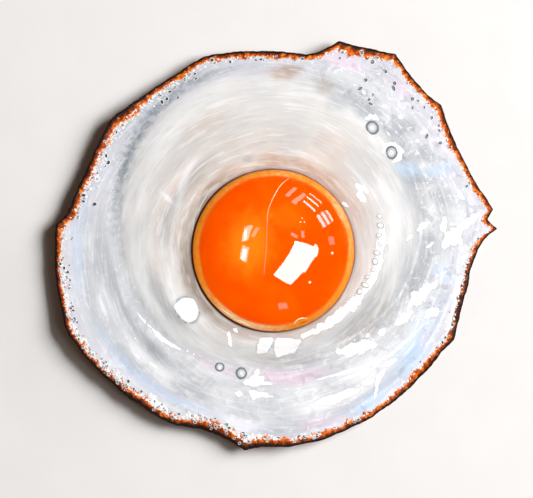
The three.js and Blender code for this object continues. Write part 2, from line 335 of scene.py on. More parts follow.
class WhiteForm:
    """How far the solid white reaches at each bearing, and how high its top and underside are."""

    BEARINGS = 720
    INNER_STEPS = 72
    OUTER_STEPS = 56
    INNER_END = 40  # out to here the steps are even, and further out they follow the edge
    SMOOTH_ROUND = 2.4  # in steps of bearing
    SMOOTH_OUT = 2.8  # in steps from the lip to the edge
    LIP = YOLK_RADIUS + POCKET_GAP
    RIM_FROM = 46  # the points of the edge lie further out than this
    SAME_SPOKE = 1e-4  # points of one spoke differ less in angle than this, in radians
    BLISTER_MARGIN = 0.35  # the top isn't read on a blister, or this close to one

    def __init__(self):
        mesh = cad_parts["egg_white"].data
        points = np.array([v.co for v in mesh.vertices]) / MM - CENTRE
        self.read_edge(points)
        tree = BVHTree.FromPolygons(
            [Vector(p) for p in points], [tuple(face.vertices) for face in mesh.polygons]
        )
        bearing = even_bearings(self.BEARINGS)[:, None]
        step = np.arange(self.INNER_STEPS + self.OUTER_STEPS)[None] + 0.5
        inner = blend(self.LIP, self.INNER_END, step / self.INNER_STEPS)
        outer = blend(self.INNER_END, self.reach(bearing), (step - self.INNER_STEPS) / self.OUTER_STEPS)
        distance = np.where(step < self.INNER_STEPS, inner, outer)
        x, y = to_xy(bearing, distance)
        weight = 1 - self.near_blister(x, y)
        self.top = self.smoothed(self.cast(tree, x, y, YOLK_TOP, -1), weight)
        self.under = self.smoothed(self.cast(tree, x, y, -1, 1), np.ones_like(x))

    def read_edge(self, points):
        """The furthest point along each spoke of the solid."""
        angle = np.arctan2(points[:, 1], points[:, 0])
        distance = np.hypot(points[:, 0], points[:, 1])
        outer = distance > self.RIM_FROM
        order = np.argsort(angle[outer])
        angle, distance = angle[outer][order], distance[outer][order]
        starts = np.concatenate([[0], np.nonzero(np.diff(angle) > self.SAME_SPOKE)[0] + 1])
        self.edge_bearing = np.degrees(angle[starts])
        self.edge_reach = np.maximum.reduceat(distance, starts)

    def reach(self, bearing):
        """Distance of the solid's edge."""
        return np.interp(bearing, self.edge_bearing, self.edge_reach, period=360)

    @staticmethod
    def cast(tree, x, y, start, way):
        """Height of the solid's first surface along vertical lines."""
        along = Vector((0, 0, way))
        heights = [
            tree.ray_cast(Vector((px, py, start)), along)[0] for px, py in zip(x.ravel(), y.ravel())
        ]
        found = np.array([np.nan if hit is None else hit.z for hit in heights]).reshape(x.shape)
        column = np.broadcast_to(np.arange(x.shape[1]), x.shape)
        last = np.maximum.accumulate(np.where(np.isnan(found), 0, column), axis=1)
        return np.take_along_axis(found, last, axis=1)

    def near_blister(self, x, y):
        """1 on a blister, which has a piece of its own, and 0 elsewhere."""
        covered = np.zeros_like(x)
        for bearing, distance, radius in BLISTERS + small_blisters():
            at_x, at_y = to_xy(bearing, distance)
            away = np.hypot(x - at_x, y - at_y)
            covered = np.maximum(covered, away < radius + self.BLISTER_MARGIN)
        return covered

    def smoothed(self, heights, weight):
        """Heights with the solid's facets smoothed out, and the covered places filled from round them."""
        return self.blurred(heights * weight) / np.maximum(self.blurred(weight), 1e-6)

    def blurred(self, grid):
        """Gaussian blur, round the bearings and from the lip to the edge."""
        for axis, sigma, mode in ((0, self.SMOOTH_ROUND, "wrap"), (1, self.SMOOTH_OUT, "edge")):
            half = math.ceil(3 * sigma)
            kernel = np.exp(-0.5 * (np.arange(-half, half + 1) / sigma) ** 2)
            kernel /= kernel.sum()
            pad = [(0, 0), (0, 0)]
            pad[axis] = (half, half)
            wide = np.pad(grid, pad, mode=mode)
            size = grid.shape[axis]
            parts = (k * np.take(wide, range(i, i + size), axis=axis) for i, k in enumerate(kernel))
            grid = sum(parts)
        return grid

    def height(self, grid, bearing, distance):
        """A value of a grid at places, read between its points."""
        inner = self.INNER_STEPS * (distance - self.LIP) / (self.INNER_END - self.LIP)
        outer = (distance - self.INNER_END) / (self.reach(bearing) - self.INNER_END)
        step = np.where(distance < self.INNER_END, inner, self.INNER_STEPS + self.OUTER_STEPS * outer)
        column = np.clip(step - 0.5, 0, grid.shape[1] - 1.001)
        row = np.mod(bearing, 360) * self.BEARINGS / 360
        i, j = np.floor(row).astype(int), np.floor(column).astype(int)
        down, right = row - i, column - j
        i, below = i % self.BEARINGS, (i + 1) % self.BEARINGS
        left = blend(grid[i, j], grid[below, j], down)
        return blend(left, blend(grid[i, j + 1], grid[below, j + 1], down), right)


@lru_cache(maxsize=None)
def white_form():
    """The form of the solid white, read once."""
    return WhiteForm()


def small_blisters():
    """Bearing, distance and radius of each blister of the run beside the yolk."""
    run = []
    for i in range(RUN_COUNT):
        along = i / (RUN_COUNT - 1)
        distance = blend(RUN_NEAR, RUN_FAR, along) + RUN_WANDER * math.sin(2.4 * i)
        radius = RUN_RADIUS * (1 + RUN_UNEVEN * math.sin(1.7 * i + 0.5))
        run.append((blend(RUN_FROM, RUN_TO, along), distance, radius))
    return run


def thick_edge(bearing):
    """Distance of the crease where the thick white ends."""
    drift = THICK_DRIFT * np.cos(np.radians(bearing - THICK_BEARING))
    lobes = THICK_LOBES * np.cos(np.radians(3 * (bearing - THICK_LOBE_BEARING)))
    return THICK_REACH + drift + lobes


# ---------- Relief of the white ----------

CRUST_WIDTH = [  # how much wider the crust is than usual, by bearing
    (0, 1.0), (28, 1.0), (35, 1.3), (45, 1.0), (58, 1.25), (66, 1.9), (74, 1.2), (100, 1.0), (128, 1.1),
    (139, 1.8), (150, 1.1), (172, 1.3), (185, 0.9), (210, 1.0), (228, 1.5), (238, 1.2), (247, 1.9),
    (262, 1.7), (275, 1.3), (300, 1.0), (322, 1.3), (335, 0.95), (345, 1.0), (353, 0.85),
]
FROTH_REACH = [  # width of the froth inside the edge, by bearing
    (0, 3.2), (20, 3.4), (45, 5.5), (60, 4.2), (85, 2.4), (105, 3.2), (130, 5.2), (150, 5.8), (175, 4.2),
    (200, 3.6), (225, 4.2), (245, 4.6), (262, 4.4), (285, 2.6), (310, 2.2), (335, 2.6),
]
FROTH_WEIGHT = [  # how thick the froth lies, by bearing
    (0, 0.5), (30, 0.5), (60, 0.45), (85, 0.45), (105, 0.5), (140, 0.6), (155, 0.7), (175, 0.7), (195, 0.9),
    (225, 1.05), (262, 1.1), (275, 0.85), (300, 0.6), (330, 0.45),
]
SCRIBBLED = [  # how much of the thin white is veined with white, by bearing
    (0, 0.7), (20, 0.8), (45, 1.0), (65, 0.8), (85, 0.3), (120, 0.2), (180, 0.25), (230, 0.4), (270, 0.45),
    (300, 0.6), (340, 0.8),
]
SPECKLED = [  # how many rust specks lie inside the crust, by bearing
    (0, 0.1), (90, 0.1), (130, 0.4), (170, 0.5), (200, 0.9), (235, 1.0), (262, 0.9), (290, 0.3), (330, 0.2),
]
LUMPY_PLACE = (46, 45)  # the bubbly stretch of thin white
LUMPY_HALF = (15, 9)
FROTH_RING = 45  # distance at which the froth's own pattern is laid out
EDGE_NICKS = 0.2  # depth of the dressed edge's coarse nicks
EDGE_SCALLOPS = 0.14  # depth of its fine ones
EDGE_TRIM = 0.06  # how far it stays inside the solid's edge, on average


def swirled(bearing, distance):
    """Distance from the yolk with a slow drift, which the folds and strands follow."""
    return distance + 1.4 * noise(bearing / 30, distance / 9, 21, wrap=12)


def froth_amount(bearing, inset):
    """How frothy the white is, at a distance in from the edge."""
    reach = around(bearing, FROTH_REACH)
    x, y = to_xy(bearing, FROTH_RING - inset)
    wander = 1 + 0.7 * noise(bearing / 6, inset / 5, 11, wrap=60) + 0.3 * noise(x / 1.5, y / 1.5, 12)
    return (1 - between(inset, 0.55 * reach * wander, reach * wander)) * around(bearing, FROTH_WEIGHT)


def relief(bearing, distance, inset, settings):
    """Height of the fine folds, lumps, froth and crags over the smooth form."""
    x, y = to_xy(bearing, distance)
    swirl = swirled(bearing, distance)
    ripples = noise(bearing / 15, swirl / 1.5, 22, wrap=24)
    ripples += 0.5 * noise(bearing / 7.5, swirl / 0.8, 23, wrap=48)
    free = between(distance, YOLK_RADIUS, YOLK_RADIUS + 3)
    height = settings.ripple_depth / MM * ripples * free
    height += 0.06 * noise(x / 6, y / 6, 24) * free
    lumpy = patch(bearing, distance, LUMPY_PLACE, LUMPY_HALF)
    height += lumpy * (0.16 * bubbles(x, y, 3.2, 25) + 0.1 * noise(x / 1.7, y / 1.7, 26))
    foam = bubbles(x, y, 1.3, 27) + 0.6 * bubbles(x, y, 0.8, 28) - 0.6
    height += froth_amount(bearing, inset) * settings.froth_height / MM * foam
    crust = 1 - between(inset, 0.6, 1.8)
    crags = noise(x / 0.9, y / 0.9, 29) + 0.6 * noise(x / 0.5, y / 0.5, 30)
    return height + crust * settings.crag_height / MM * crags


def ragged_reach(bearing):
    """Distance of the dressed edge: the solid's, nicked and scalloped by the crisp froth."""
    reach = white_form().reach(bearing)
    coarse = EDGE_NICKS * noise(bearing / 3, reach / 8, 31, wrap=120)
    return reach + coarse + EDGE_SCALLOPS * noise(bearing / 1.2, reach / 8, 32, wrap=300) - EDGE_TRIM


# ---------- Tints of the white ----------

CREASE_SHADE = [  # how grey the crease round the thick white is, by bearing
    (0, 0.15), (15, 0.2), (40, 0.35), (60, 0.3), (80, 0.12), (100, 0.2), (112, 0.5), (130, 0.72), (150, 0.7),
    (165, 0.5), (182, 0.24), (205, 0.26), (230, 0.2), (255, 0.15), (290, 0.2), (320, 0.3), (345, 0.25),
]
CONTACT_SHADE_DARK = [  # how dark the painted shade is along the line where the yolk meets the white, by bearing
    (0, 0.55), (60, 0.4), (100, 0.55), (130, 0.85), (180, 1.0), (240, 1.0), (270, 0.8), (300, 0.55),
]
BURNT = [  # how far the burnt line has spread into the crust, by bearing
    (0, 0.5), (15, 0.3), (40, 0.15), (62, 0.3), (75, 0.6), (100, 0.5), (115, 0.1), (135, 0.4), (150, 0.35),
    (172, 0.1), (190, 0.35), (210, 0.5), (235, 0.3), (250, 0.2), (262, 0.35), (285, 0.1), (305, 0.3),
    (325, 0.2), (331, 0.5), (336, 1.2), (345, 1.6), (355, 1.6), (358, 0.9),
]
# Soft arcs of tint: tint, strength, first and last bearing, distance at each, and width. The umber arcs hard
# by the yolk on its side away from the lamps are painted shade cast by the yolk, the grey arcs along the
# folds are partly painted shade, and the pearl arcs on the left side are partly painted light.
ARCS = [
    ("beige", 0.85, 0, 200, 22.4, 23.2, 2.4),
    ("beige", 0.4, 165, 385, 23.0, 22.2, 1.6),
    ("beige", 0.35, 10, 80, 26.5, 26.5, 2.4),
    ("beige", 0.2, 60, 170, 27, 30, 4.0),
    ("umber", 0.18, 40, 200, 29, 34, 6.5),
    ("umber", 0.85, 104, 262, 22.6, 22.4, 2.1),
    ("umber", 0.8, 112, 222, 22.4, 22.6, 1.9),
    ("umber", 0.3, 108, 196, 26.6, 26.8, 2.2),
    ("beige", 0.25, 280, 325, 23.6, 23.6, 1.6),
    ("beige", 0.6, 10, 66, 23.6, 23.0, 1.9),
    ("grey", 0.18, 8, 56, 31, 31, 6.0),
    ("grey", 0.5, 262, 292, 47.2, 46.8, 1.6),
    ("grey", 0.4, -24, 46, 38.6, 40.2, 2.2),
    ("grey", 0.3, 12, 52, 37.0, 41, 3.0),
    ("grey", 0.5, -66, -2, 27.2, 30.2, 1.7),
    ("umber", 0.4, -64, -14, 29.5, 32.5, 2.4),
    ("grey", 0.4, 262, 306, 28.6, 31.5, 2.2),
    ("umber", 0.3, 250, 300, 28, 29.5, 1.8),
    ("grey", 0.42, 110, 188, 29, 29.8, 1.2),
    ("beige", 0.35, 118, 200, 30.4, 31, 0.9),
    ("grey", 0.45, 182, 228, 33.6, 31, 1.5),
    ("umber", 0.28, 186, 232, 31, 29.5, 1.0),
    ("grey", 0.4, 168, 240, 44, 40, 1.7),
    ("grey", 0.36, 160, 215, 48.5, 50.5, 1.3),
    ("grey", 0.35, 160, 238, 47.5, 45.5, 2.6),
    ("blue", 0.5, 196, 256, 50.8, 44.4, 1.2),
    ("blue", 0.35, 160, 200, 51, 51.2, 1.4),
    ("grey", 0.3, 120, 170, 50.5, 50, 1.3),
    ("blue", 0.5, -72, -10, 46.4, 46, 2.0),
    ("blue", 0.5, -50, -14, 42.4, 43.6, 1.8),
    ("rose", 0.6, 255, 300, 32.5, 34.5, 1.8),
    ("rose", 0.35, 270, 322, 47.6, 48, 1.0),
    ("rose", 0.4, 228, 262, 34.4, 33.4, 1.2),
    ("grey", 0.3, 266, 345, 44.8, 46.8, 1.4),
    ("grey", 0.35, -30, 8, 33.6, 35.4, 2.2),
    ("grey", 0.35, -12, 26, 41.6, 44.5, 2.4),
    ("pearl", 0.4, 100, 182, 45.2, 33.8, 2.0),
    ("pearl", 0.5, 122, 166, 32.4, 25.6, 0.9),
    ("pearl", 0.45, 168, 216, 36.5, 33.8, 1.6),
    ("pearl", 0.8, 186, 232, 29.2, 27.6, 1.9),
    ("pearl", 0.45, -14, 40, 29.6, 35.5, 2.0),
    ("pearl", 0.55, 2, 28, 40.6, 44, 1.6),
    ("pearl", 0.55, -28, -2, 49.8, 48.8, 1.6),
    ("pearl", 0.6, -88, -46, 42.2, 43.2, 1.3),
    ("pearl", 0.5, 205, 240, 45.4, 42, 1.2),
]
# Soft oval patches of tint: tint, strength, place, half length and half width, and turn from the ring.
PATCHES = [
    ("beige", 0.75, (86.5, 46.4), (4.5, 2.0), 6),
    ("umber", 0.5, (84, 47.6), (3.2, 1.2), 8),
    ("umber", 0.5, (73, 44.8), (3.2, 2.4), -20),
    ("grey", 0.5, (66, 42.5), (3.6, 2.6), 30),
    ("grey", 0.55, (57, 43.5), (4.2, 2.4), 10),
    ("grey", 0.5, (44, 46.5), (3.4, 2.0), 60),
    ("grey", 0.45, (33, 46), (4.4, 2.2), 70),
    ("grey", 0.5, (27, 42.5), (4.6, 2.2), 60),
    ("grey", 0.5, (17, 47), (4.8, 2.4), 60),
    ("blue", 0.6, (31, 41), (3.4, 2.0), 50),
    ("blue", 0.55, (26, 48), (4.0, 1.8), 80),
    ("rose", 0.55, (70, 52.2), (6.5, 1.8), 0),
    ("rose", 0.4, (52, 53.6), (5.5, 1.6), 0),
    ("rose", 0.35, (33, 53), (6, 1.2), 0),
    ("grey", 0.4, (220, 40.5), (3.6, 1.6), 0),
    ("grey", 0.55, (236, 43.4), (3.6, 1.8), 0),
    ("grey", 0.4, (182, 46), (5.5, 2.0), 0),
    ("blue", 0.75, (-58, 47.2), (6, 1.7), 0),
    ("blue", 0.75, (-36, 45.4), (6, 2.4), 0),
    ("rose", 0.6, (-77, 46.0), (4, 0.8), 0),
    ("blue", 0.5, (-8, 44.5), (3.5, 1.8), 60),
    ("grey", 0.45, (-12, 37), (5, 2.4), 30),
    ("grey", 0.6, (105.7, 24.6), (1.4, 1.0), 0),
    ("grey", 0.55, (241, 41.6), (4.2, 1.9), 0),
    ("pearl", 0.6, (153.6, 30.8), (2.3, 0.6), 72),
    ("rose", 0.3, (-30, 46), (4, 1.4), 0),
    ("beige", 0.35, (60, 31), (6, 4), 0),
    ("beige", 0.3, (118, 37), (7, 3), 0),
]
# Painted highlights: crisp white patches painted on the wet white: half width, and the places that each runs
# through.
PAINTED_HIGHLIGHTS = [
    (0.95, (-71, 23.5), (-55, 23.7), (-42, 24.0), (-30, 25.3), (-15, 26.9)),
    (0.9, (-22, 26.5), (-8, 27.5), (3, 27.9), (12, 28.8)),
    (0.5, (-97.8, 23.3), (-91.2, 23.0), (-94.3, 26.2), (-98.6, 26.7), (-97.8, 23.3)),
    (1.4, (-96.4, 25.1), (-94.6, 24.4), (-96.4, 25.1)),
    (0.5, (-87.3, 23.1), (-74.1, 24.4), (-78.7, 26.5), (-87.7, 27.3), (-88.7, 25.5), (-87.3, 23.1)),
    (1.9, (-85.0, 25.2), (-79.0, 25.0), (-85.0, 25.2)),
    (1.1, (-57, 31.1), (-52, 33.2), (-46.4, 34.2), (-43, 36.2)),
    (0.7, (-55.5, 32.8), (-51, 34.2)),
    (0.45, (-42.7, 32.9), (-41.3, 33.1)),
    (0.7, (-38.6, 35.2), (-35.6, 35.2)),
    (0.4, (-32.8, 36), (-32.4, 36.1)),
    (0.9, (-31, 37.2), (-27.6, 38.2), (-24, 39.1)),
    (1.6, (-20.3, 39.4), (-14.9, 40.8)),
    (0.9, (-21.8, 38.2), (-14.9, 40.8), (-10.8, 43.4)),
    (0.8, (-24, 43.3), (-21.1, 44.6), (-19.4, 45.7)),
    (1.6, (1.5, 44.9), (4.5, 46.8), (6.8, 48.9)),
    (0.9, (6.8, 48.9), (8.6, 51.6), (9.9, 54.0)),
    (0.55, (8.0, 37.9), (10.3, 41.2)),
    (0.65, (6.5, 44.4), (11, 45.4)),
    (0.45, (4.3, 34.6), (6.5, 36.2)),
    (0.45, (11.4, 49.8), (12.2, 50.4)),
    (0.4, (5.5, 53.2), (6.4, 53.6)),
    (0.35, (-5.2, 48.6), (-4.4, 49.2)),
    (0.36, (-71.3, 35.5), (-59.3, 36.8), (-48, 39.3), (-41.6, 40.8), (-33.8, 42), (-26, 43.6)),
    (0.32, (-62.5, 37.9), (-52.5, 39.9)),
    (0.5, (-46.5, 41.5), (-41.5, 42.7)),
    (0.55, (-55.4, 46.4), (-51.1, 43.5), (-46.8, 42.2)),
    (0.95, (-74.5, 41.2), (-66, 41.8), (-58.8, 42.5)),
    (0.6, (-102.6, 35.2), (-97, 34.9), (-91, 34.7)),
    (1.0, (-100.6, 34.4), (-97.5, 34.0), (-94.8, 34.1)),
    (0.45, (-97.3, 31.2), (-98.2, 33.2)),
    (0.5, (-94.6, 32.9), (-96, 34.0)),
    (0.9, (-98.8, 37.6), (-96.2, 38.3)),
    (0.45, (-99.6, 37.2), (-94.5, 37.6), (-90.3, 38.0)),
    (0.5, (-104.8, 38.4), (-102.4, 38.4)),
    (0.4, (1, 39.9), (3, 41.7)),
    (
        0.6, (209.7, 29.1), (209.4, 26.5), (211.6, 24.9), (215.3, 25.1), (219.1, 26.5), (218.9, 28.0),
        (216.3, 28.6), (212.2, 29.2), (209.7, 29.1),
    ),
    (2.6, (213.0, 27.2), (216.0, 27.2), (213.0, 27.2)),
    (0.4, (240.8, 23.9), (246, 27.2)),
    (0.5, (243, 22.8), (245.8, 23.1)),
    (0.24, (203, 39.4), (208.8, 38.3), (218.9, 37), (227.1, 35.3)),
    (0.4, (213.5, 37.7), (218.9, 37), (225.5, 35.7)),
    (0.4, (229.3, 34.7), (229.6, 34.6)),
    (0.36, (232.2, 34.2), (232.5, 34.1)),
    (0.8, (38.4, 27.4), (34.7, 27.6), (31.8, 26.4), (28.6, 26.8)),
    (0.4, (36, 29.0), (31, 28.4)),
    (0.35, (35, 21.9), (30.2, 22.4)),
    (0.6, (54.8, 41.9), (54.1, 43.2), (51.6, 43.7)),
    (0.22, (50.3, 43.6), (43.8, 42.5)),
    (0.5, (42, 38.2), (43, 40.2), (41.6, 41.8), (38.1, 42.1), (36.2, 40.6), (36.6, 38.2)),
    (0.3, (47.6, 40.2), (43.9, 39.6)),
    (0.2, (216, 45.3), (219, 44.6)),
    (0.2, (222, 43.6), (226, 43.0)),
    (0.18, (211, 43.4), (213, 42.8)),
    (0.5, (18, 50.6), (15, 51.4)),
    (0.45, (-3, 49.4), (-1, 50.6)),
    (0.4, (61, 47.6), (59.5, 47.2)),
    (0.45, (47, 47.8), (45.8, 48.4)),
    (0.4, (37.6, 46.6), (36.8, 47.8)),
]
PAINTED_HIGHLIGHT_REACH = 2  # the depth is kept within this
PAINTED_HIGHLIGHT_SLOPE = 0.6  # depth in the middle of a patch
EVEN = [(-22.8, -15.2), (-1, -25)]  # x and y where the painted highlights have smooth outlines
EVEN_NEAR = 5  # out to this distance from there they are smooth
EVEN_FAR = 8  # and from this distance on as ragged as elsewhere
CONTACT_WIDTH = 0.8  # of the warm shade along the yolk


def crease_depth(bearing, distance):
    """1 in the crease round the thick white, fading outwards."""
    beyond = distance - thick_edge(bearing)
    return np.exp(-((beyond / 1.3) ** 2)) + 0.4 * np.exp(-(((beyond - 1.2) / 2.6) ** 2))


def white_tint(bearing, distance, inset, settings):
    """Colour of the set white at places, with painted shade and painted light in it, before froth and crust.
    """
    names = ("grey", "beige", "umber", "blue", "rose", "pearl", "thin", "lilac")
    tints = {name: np.array(getattr(settings, name)) for name in names}
    made = np.broadcast_to(np.array(settings.white), (len(bearing), 3)).copy()

    def lay(tint, amount):
        made[:] = blend(made, tints[tint], np.clip(amount, 0, 1)[:, None])

    x, y = to_xy(bearing, distance)
    swirl = swirled(bearing, distance)
    streaks = noise(bearing / 12, swirl / 1.3, 41, wrap=30)
    streaks += 0.5 * noise(bearing / 6, swirl / 0.7, 42, wrap=60)
    fine = noise(bearing / 5, swirl / 0.45, 46, wrap=72)
    uneven = 1 + 0.7 * streaks + 0.4 * fine
    beyond = distance - thick_edge(bearing)
    lay("thin", between(beyond, -5, 3))
    lay("lilac", (1 - between(inset, 4.5, 9)) * 0.7)
    lay("pearl", between(streaks + 0.6 * fine, 0.1, 0.9) * 0.3)
    lay("grey", between(-streaks - 0.6 * fine, 0.1, 0.9) * 0.18)
    lay("grey", 0.14 * between(noise(x / 9, y / 9, 43), -0.2, 0.5))
    mottled = 1 + 0.7 * noise(x / 1.6, y / 1.6, 44)
    # Painted shade in the crease round the thick white.
    lay("grey", around(bearing, CREASE_SHADE) * crease_depth(bearing, distance) * mottled)
    # A pale band just inside the crease, partly painted light on the thick white's edge.
    lay("pearl", 0.5 * np.exp(-(((beyond + 3.6) / 1.6) ** 2)) * uneven)
    for tint, amount, *form in ARCS:
        lay(tint, amount * arc(bearing, distance, *form) * uneven)
    cloudy = 1 + 0.4 * noise(x / 2, y / 2, 45)
    for tint, amount, *form in PATCHES:
        lay(tint, amount * patch(bearing, distance, *form) * cloudy)
    # Painted shade along the yolk's foot.
    lay("umber", 0.75 * np.exp(-(((distance - YOLK_RADIUS) / CONTACT_WIDTH) ** 2)))
    return made


def painted_highlight_depth(bearing, distance):
    """How far inside a painted highlight a place is, or outside if negative."""
    x, y = to_xy(bearing, distance)
    depth = np.full(len(x), -float(PAINTED_HIGHLIGHT_REACH))
    for half, *places in PAINTED_HIGHLIGHTS:
        points = np.array([to_xy(*place) for place in places])
        closed = places[0] == places[-1]
        for i, ((ax, ay), (bx, by)) in enumerate(zip(points, points[1:])):
            run = math.dist((ax, ay), (bx, by))
            along = np.clip(((x - ax) * (bx - ax) + (y - ay) * (by - ay)) / run**2, 0, 1)
            away = np.hypot(x - blend(ax, bx, along), y - blend(ay, by, along))
            done = (i + along) / (len(points) - 1)
            taper = 1 if closed else 1.25 - 0.7 * np.abs(2 * done - 1) ** 3
            depth = np.maximum(depth, PAINTED_HIGHLIGHT_SLOPE * (1 - away / (half * taper)))
    return np.clip(depth, -PAINTED_HIGHLIGHT_REACH, PAINTED_HIGHLIGHT_REACH)


# ---------- Materials ----------


class Paint:
    """Builds one node material, and keeps the calls that make it short."""

    # Sockets of the mix node that are for colours. It has others of the same names for numbers.
    FACTOR, UNDER, OVER, RESULT = 0, 6, 7, 2

    def __init__(self, name):
        self.material = bpy.data.materials.new(name)
        self.material.use_nodes = True
        self.nodes = self.material.node_tree.nodes
        self.links = self.material.node_tree.links
        self.shader = self.nodes["Principled BSDF"]
        self.object_place = self.nodes.new("ShaderNodeTexCoord").outputs["Object"]

    def put(self, socket, value):
        """Links an output to a socket, or sets a constant on it."""
        if isinstance(value, bpy.types.NodeSocket):
            self.links.new(value, socket)
        elif socket.type == "RGBA":
            socket.default_value = (*value, 1)
        else:
            socket.default_value = value

    def node(self, kind, output, inputs, **options):
        """A node with its options and inputs, and the output asked for."""
        made = self.nodes.new(kind)
        for name, value in options.items():
            setattr(made, name, value)
        for key, value in inputs.items():
            self.put(made.inputs[key], value)
        return made.outputs[output]

    def finish(self, **inputs):
        """Sets the shader's own sockets, named with underscores for spaces."""
        for name, value in inputs.items():
            self.put(self.shader.inputs[name.replace("_", " ").replace("Ior", "IOR")], value)
        return self.material

    def layer(self, name, output="Fac"):
        """A layer of values stored at the mesh's points."""
        return self.node("ShaderNodeAttribute", output, {}, attribute_name=name)

    def noise(self, size, detail=2.0, roughness=0.5, distortion=0.0):
        """Noise with hills about size millimetres across, from 0 to 1."""
        inputs = {
            "Vector": self.object_place, "Scale": 1 / (size * MM), "Detail": detail,
            "Roughness": roughness, "Distortion": distortion,
        }
        return self.node("ShaderNodeTexNoise", "Fac", inputs)

    def strands(self, swirl, along=170, across=2.4):
        """Fine strands that run round the yolk, from 0 to 1. swirl is a layer of distances in millimetres."""
        scale = (along, along, 0)
        place = self.node("ShaderNodeVectorMath", 0, {0: self.object_place, 1: scale}, operation="MULTIPLY")
        lift = self.node("ShaderNodeCombineXYZ", 0, {"Z": self.times(swirl, across)})
        place = self.node("ShaderNodeVectorMath", 0, {0: place, 1: lift}, operation="ADD")
        inputs = {"Vector": place, "Scale": 1.0, "Detail": 3.0, "Roughness": 0.6}
        return self.node("ShaderNodeTexNoise", "Fac", inputs)

    def cells(self, size):
        """Distance from the nearest of scattered points, about size millimetres apart."""
        inputs = {"Vector": self.object_place, "Scale": 1 / (size * MM)}
        return self.node("ShaderNodeTexVoronoi", "Distance", inputs)

    def sum(self, *terms):
        """Sum of values."""
        total = terms[0]
        for term in terms[1:]:
            total = self.node("ShaderNodeMath", 0, {0: total, 1: term}, operation="ADD")
        return total

    def times(self, *factors):
        """Product of values."""
        product = factors[0]
        for factor in factors[1:]:
            product = self.node("ShaderNodeMath", 0, {0: product, 1: factor}, operation="MULTIPLY")
        return product

    def centred(self, value, amount):
        """A value from 0 to 1, moved to lie evenly about 0 and scaled."""
        return self.times(self.sum(value, -0.5), amount)

    def span(self, value, low, high, start=0.0, end=1.0, smooth=True):
        """Maps a value from low..high to start..end, held outside."""
        kind = "SMOOTHSTEP" if smooth else "LINEAR"
        inputs = {"Value": value, "From Min": low, "From Max": high, "To Min": start, "To Max": end}
        return self.node("ShaderNodeMapRange", "Result", inputs, interpolation_type=kind)

    def mix(self, amount, under, over):
        """One colour over another."""
        inputs = {self.FACTOR: amount, self.UNDER: under, self.OVER: over}
        return self.node("ShaderNodeMix", self.RESULT, inputs, data_type="RGBA")

    def lay(self, under, over, value, *reach):
        """One colour over another, by a value that is mapped as in span."""
        return self.mix(self.span(value, *reach), under, over)

    def ramp(self, value, stops):
        """Colour and alpha from a value: each stop is (position, colour, alpha)."""
        made = self.nodes.new("ShaderNodeValToRGB")
        elements = made.color_ramp.elements
        for _ in stops[2:]:
            elements.new(0.5)
        for element, (position, shade, alpha) in zip(elements, stops):
            element.position = position
            element.color = (*shade, alpha)
        self.put(made.inputs["Fac"], value)
        return made.outputs["Color"], made.outputs["Alpha"]

    def bump(self, height, distance):
        """Small relief: height from 0 to 1 is distance millimetres."""
        inputs = {"Height": height, "Distance": distance * MM, "Strength": 1.0}
        return self.node("ShaderNodeBump", "Normal", inputs)


CRUST_RAMP = 2.2  # the crust's ramp of colours runs this far in from the edge, in widths of the crust


def white_material(settings):
    """Set egg white: pearly and wet inside, with painted highlights and painted shade, frothed towards the
    edge, and browned to a crust at it.
    """
    paint = Paint("set_white")
    fine, coarse = paint.noise(0.35, 3), paint.noise(1.1, 3, 0.6)
    froth, swirl = paint.layer("froth"), paint.layer("swirl")
    strands, strokes = paint.strands(swirl), paint.strands(swirl, 90, 1.0)
    base = folded_colour(paint, settings, strands, strokes)
    stipple = paint.sum(paint.times(paint.cells(0.75), -1.0), paint.times(coarse, 0.7), froth)
    stipple = paint.times(paint.span(stipple, 0.5, 0.8), paint.span(froth, 0.02, 0.6), 0.92)
    base = paint.mix(stipple, base, settings.froth)
    # Painted highlights over the white.
    base, painted_highlight = painted_highlight_colour(paint, settings, base, strands, strokes)
    base, crust = crusted_colour(paint, settings, base, fine, coarse)
    # Painted shade on the white's lip against the yolk.
    seam = paint.span(paint.sum(paint.layer("seam"), paint.centred(coarse, 0.4)), 1.0, 0.5)
    base = paint.mix(paint.times(seam, paint.layer("contact_shade_dark")), base, settings.seam)
    rough = paint.sum(
        paint.span(stipple, 0, 1, 0.45, 0.55), paint.times(crust, 0.1), paint.times(painted_highlight, -0.2)
    )
    pores = paint.times(paint.cells(0.5), paint.span(froth, 0, 0.6, 0, 0.5))
    relief_map = paint.sum(paint.times(fine, 0.4), paint.times(strands, 0.5), pores)
    wet = paint.times(paint.span(froth, 0, 1, 0.25, 0.1), paint.span(crust, 0, 1, 1, 0.1))
    return paint.finish(
        Base_Color=base, Roughness=rough, Normal=paint.bump(relief_map, 0.03), Ior=1.2, Coat_Weight=wet,
        Coat_Roughness=0.22, Coat_Ior=1.45, Subsurface_Weight=paint.span(crust, 0, 1, 0.18, 0.0),
        Subsurface_Radius=(1.0, 0.8, 0.6), Subsurface_Scale=0.0012,
    )


def folded_colour(paint, settings, strands, strokes):
    """The stored tint with strands through it, dabs of painted shade in the crease, and veins in the thin
    white.
    """
    base = paint.lay(paint.layer("tint", "Color"), settings.pearl, strands, 0.5, 0.8, 0, 0.4)
    base = paint.lay(base, settings.grey, strands, 0.5, 0.2, 0, 0.16)
    base = paint.lay(base, settings.pearl, strokes, 0.56, 0.64, 0, 0.35)
    base = paint.lay(base, settings.grey, strokes, 0.42, 0.34, 0, 0.15)
    # Dabs of painted shade in the crease.
    dabs = paint.span(paint.noise(1.4, 3, 0.6, 0.8), 0.48, 0.56)
    base = paint.mix(paint.times(dabs, paint.layer("crease")), base, settings.smoke)
    veined = paint.layer("veined")
    clear = paint.span(paint.noise(3.2, 3, 0.6, 0.8), 0.48, 0.36)
    base = paint.mix(paint.times(clear, veined, 0.5), base, settings.grey)
    veins = paint.span(paint.sum(paint.noise(1.7, 4, 0.6, 0.7), paint.times(strands, 0.3)), 0.7, 0.8)
    return paint.mix(paint.times(veins, veined, 0.6), base, settings.froth)


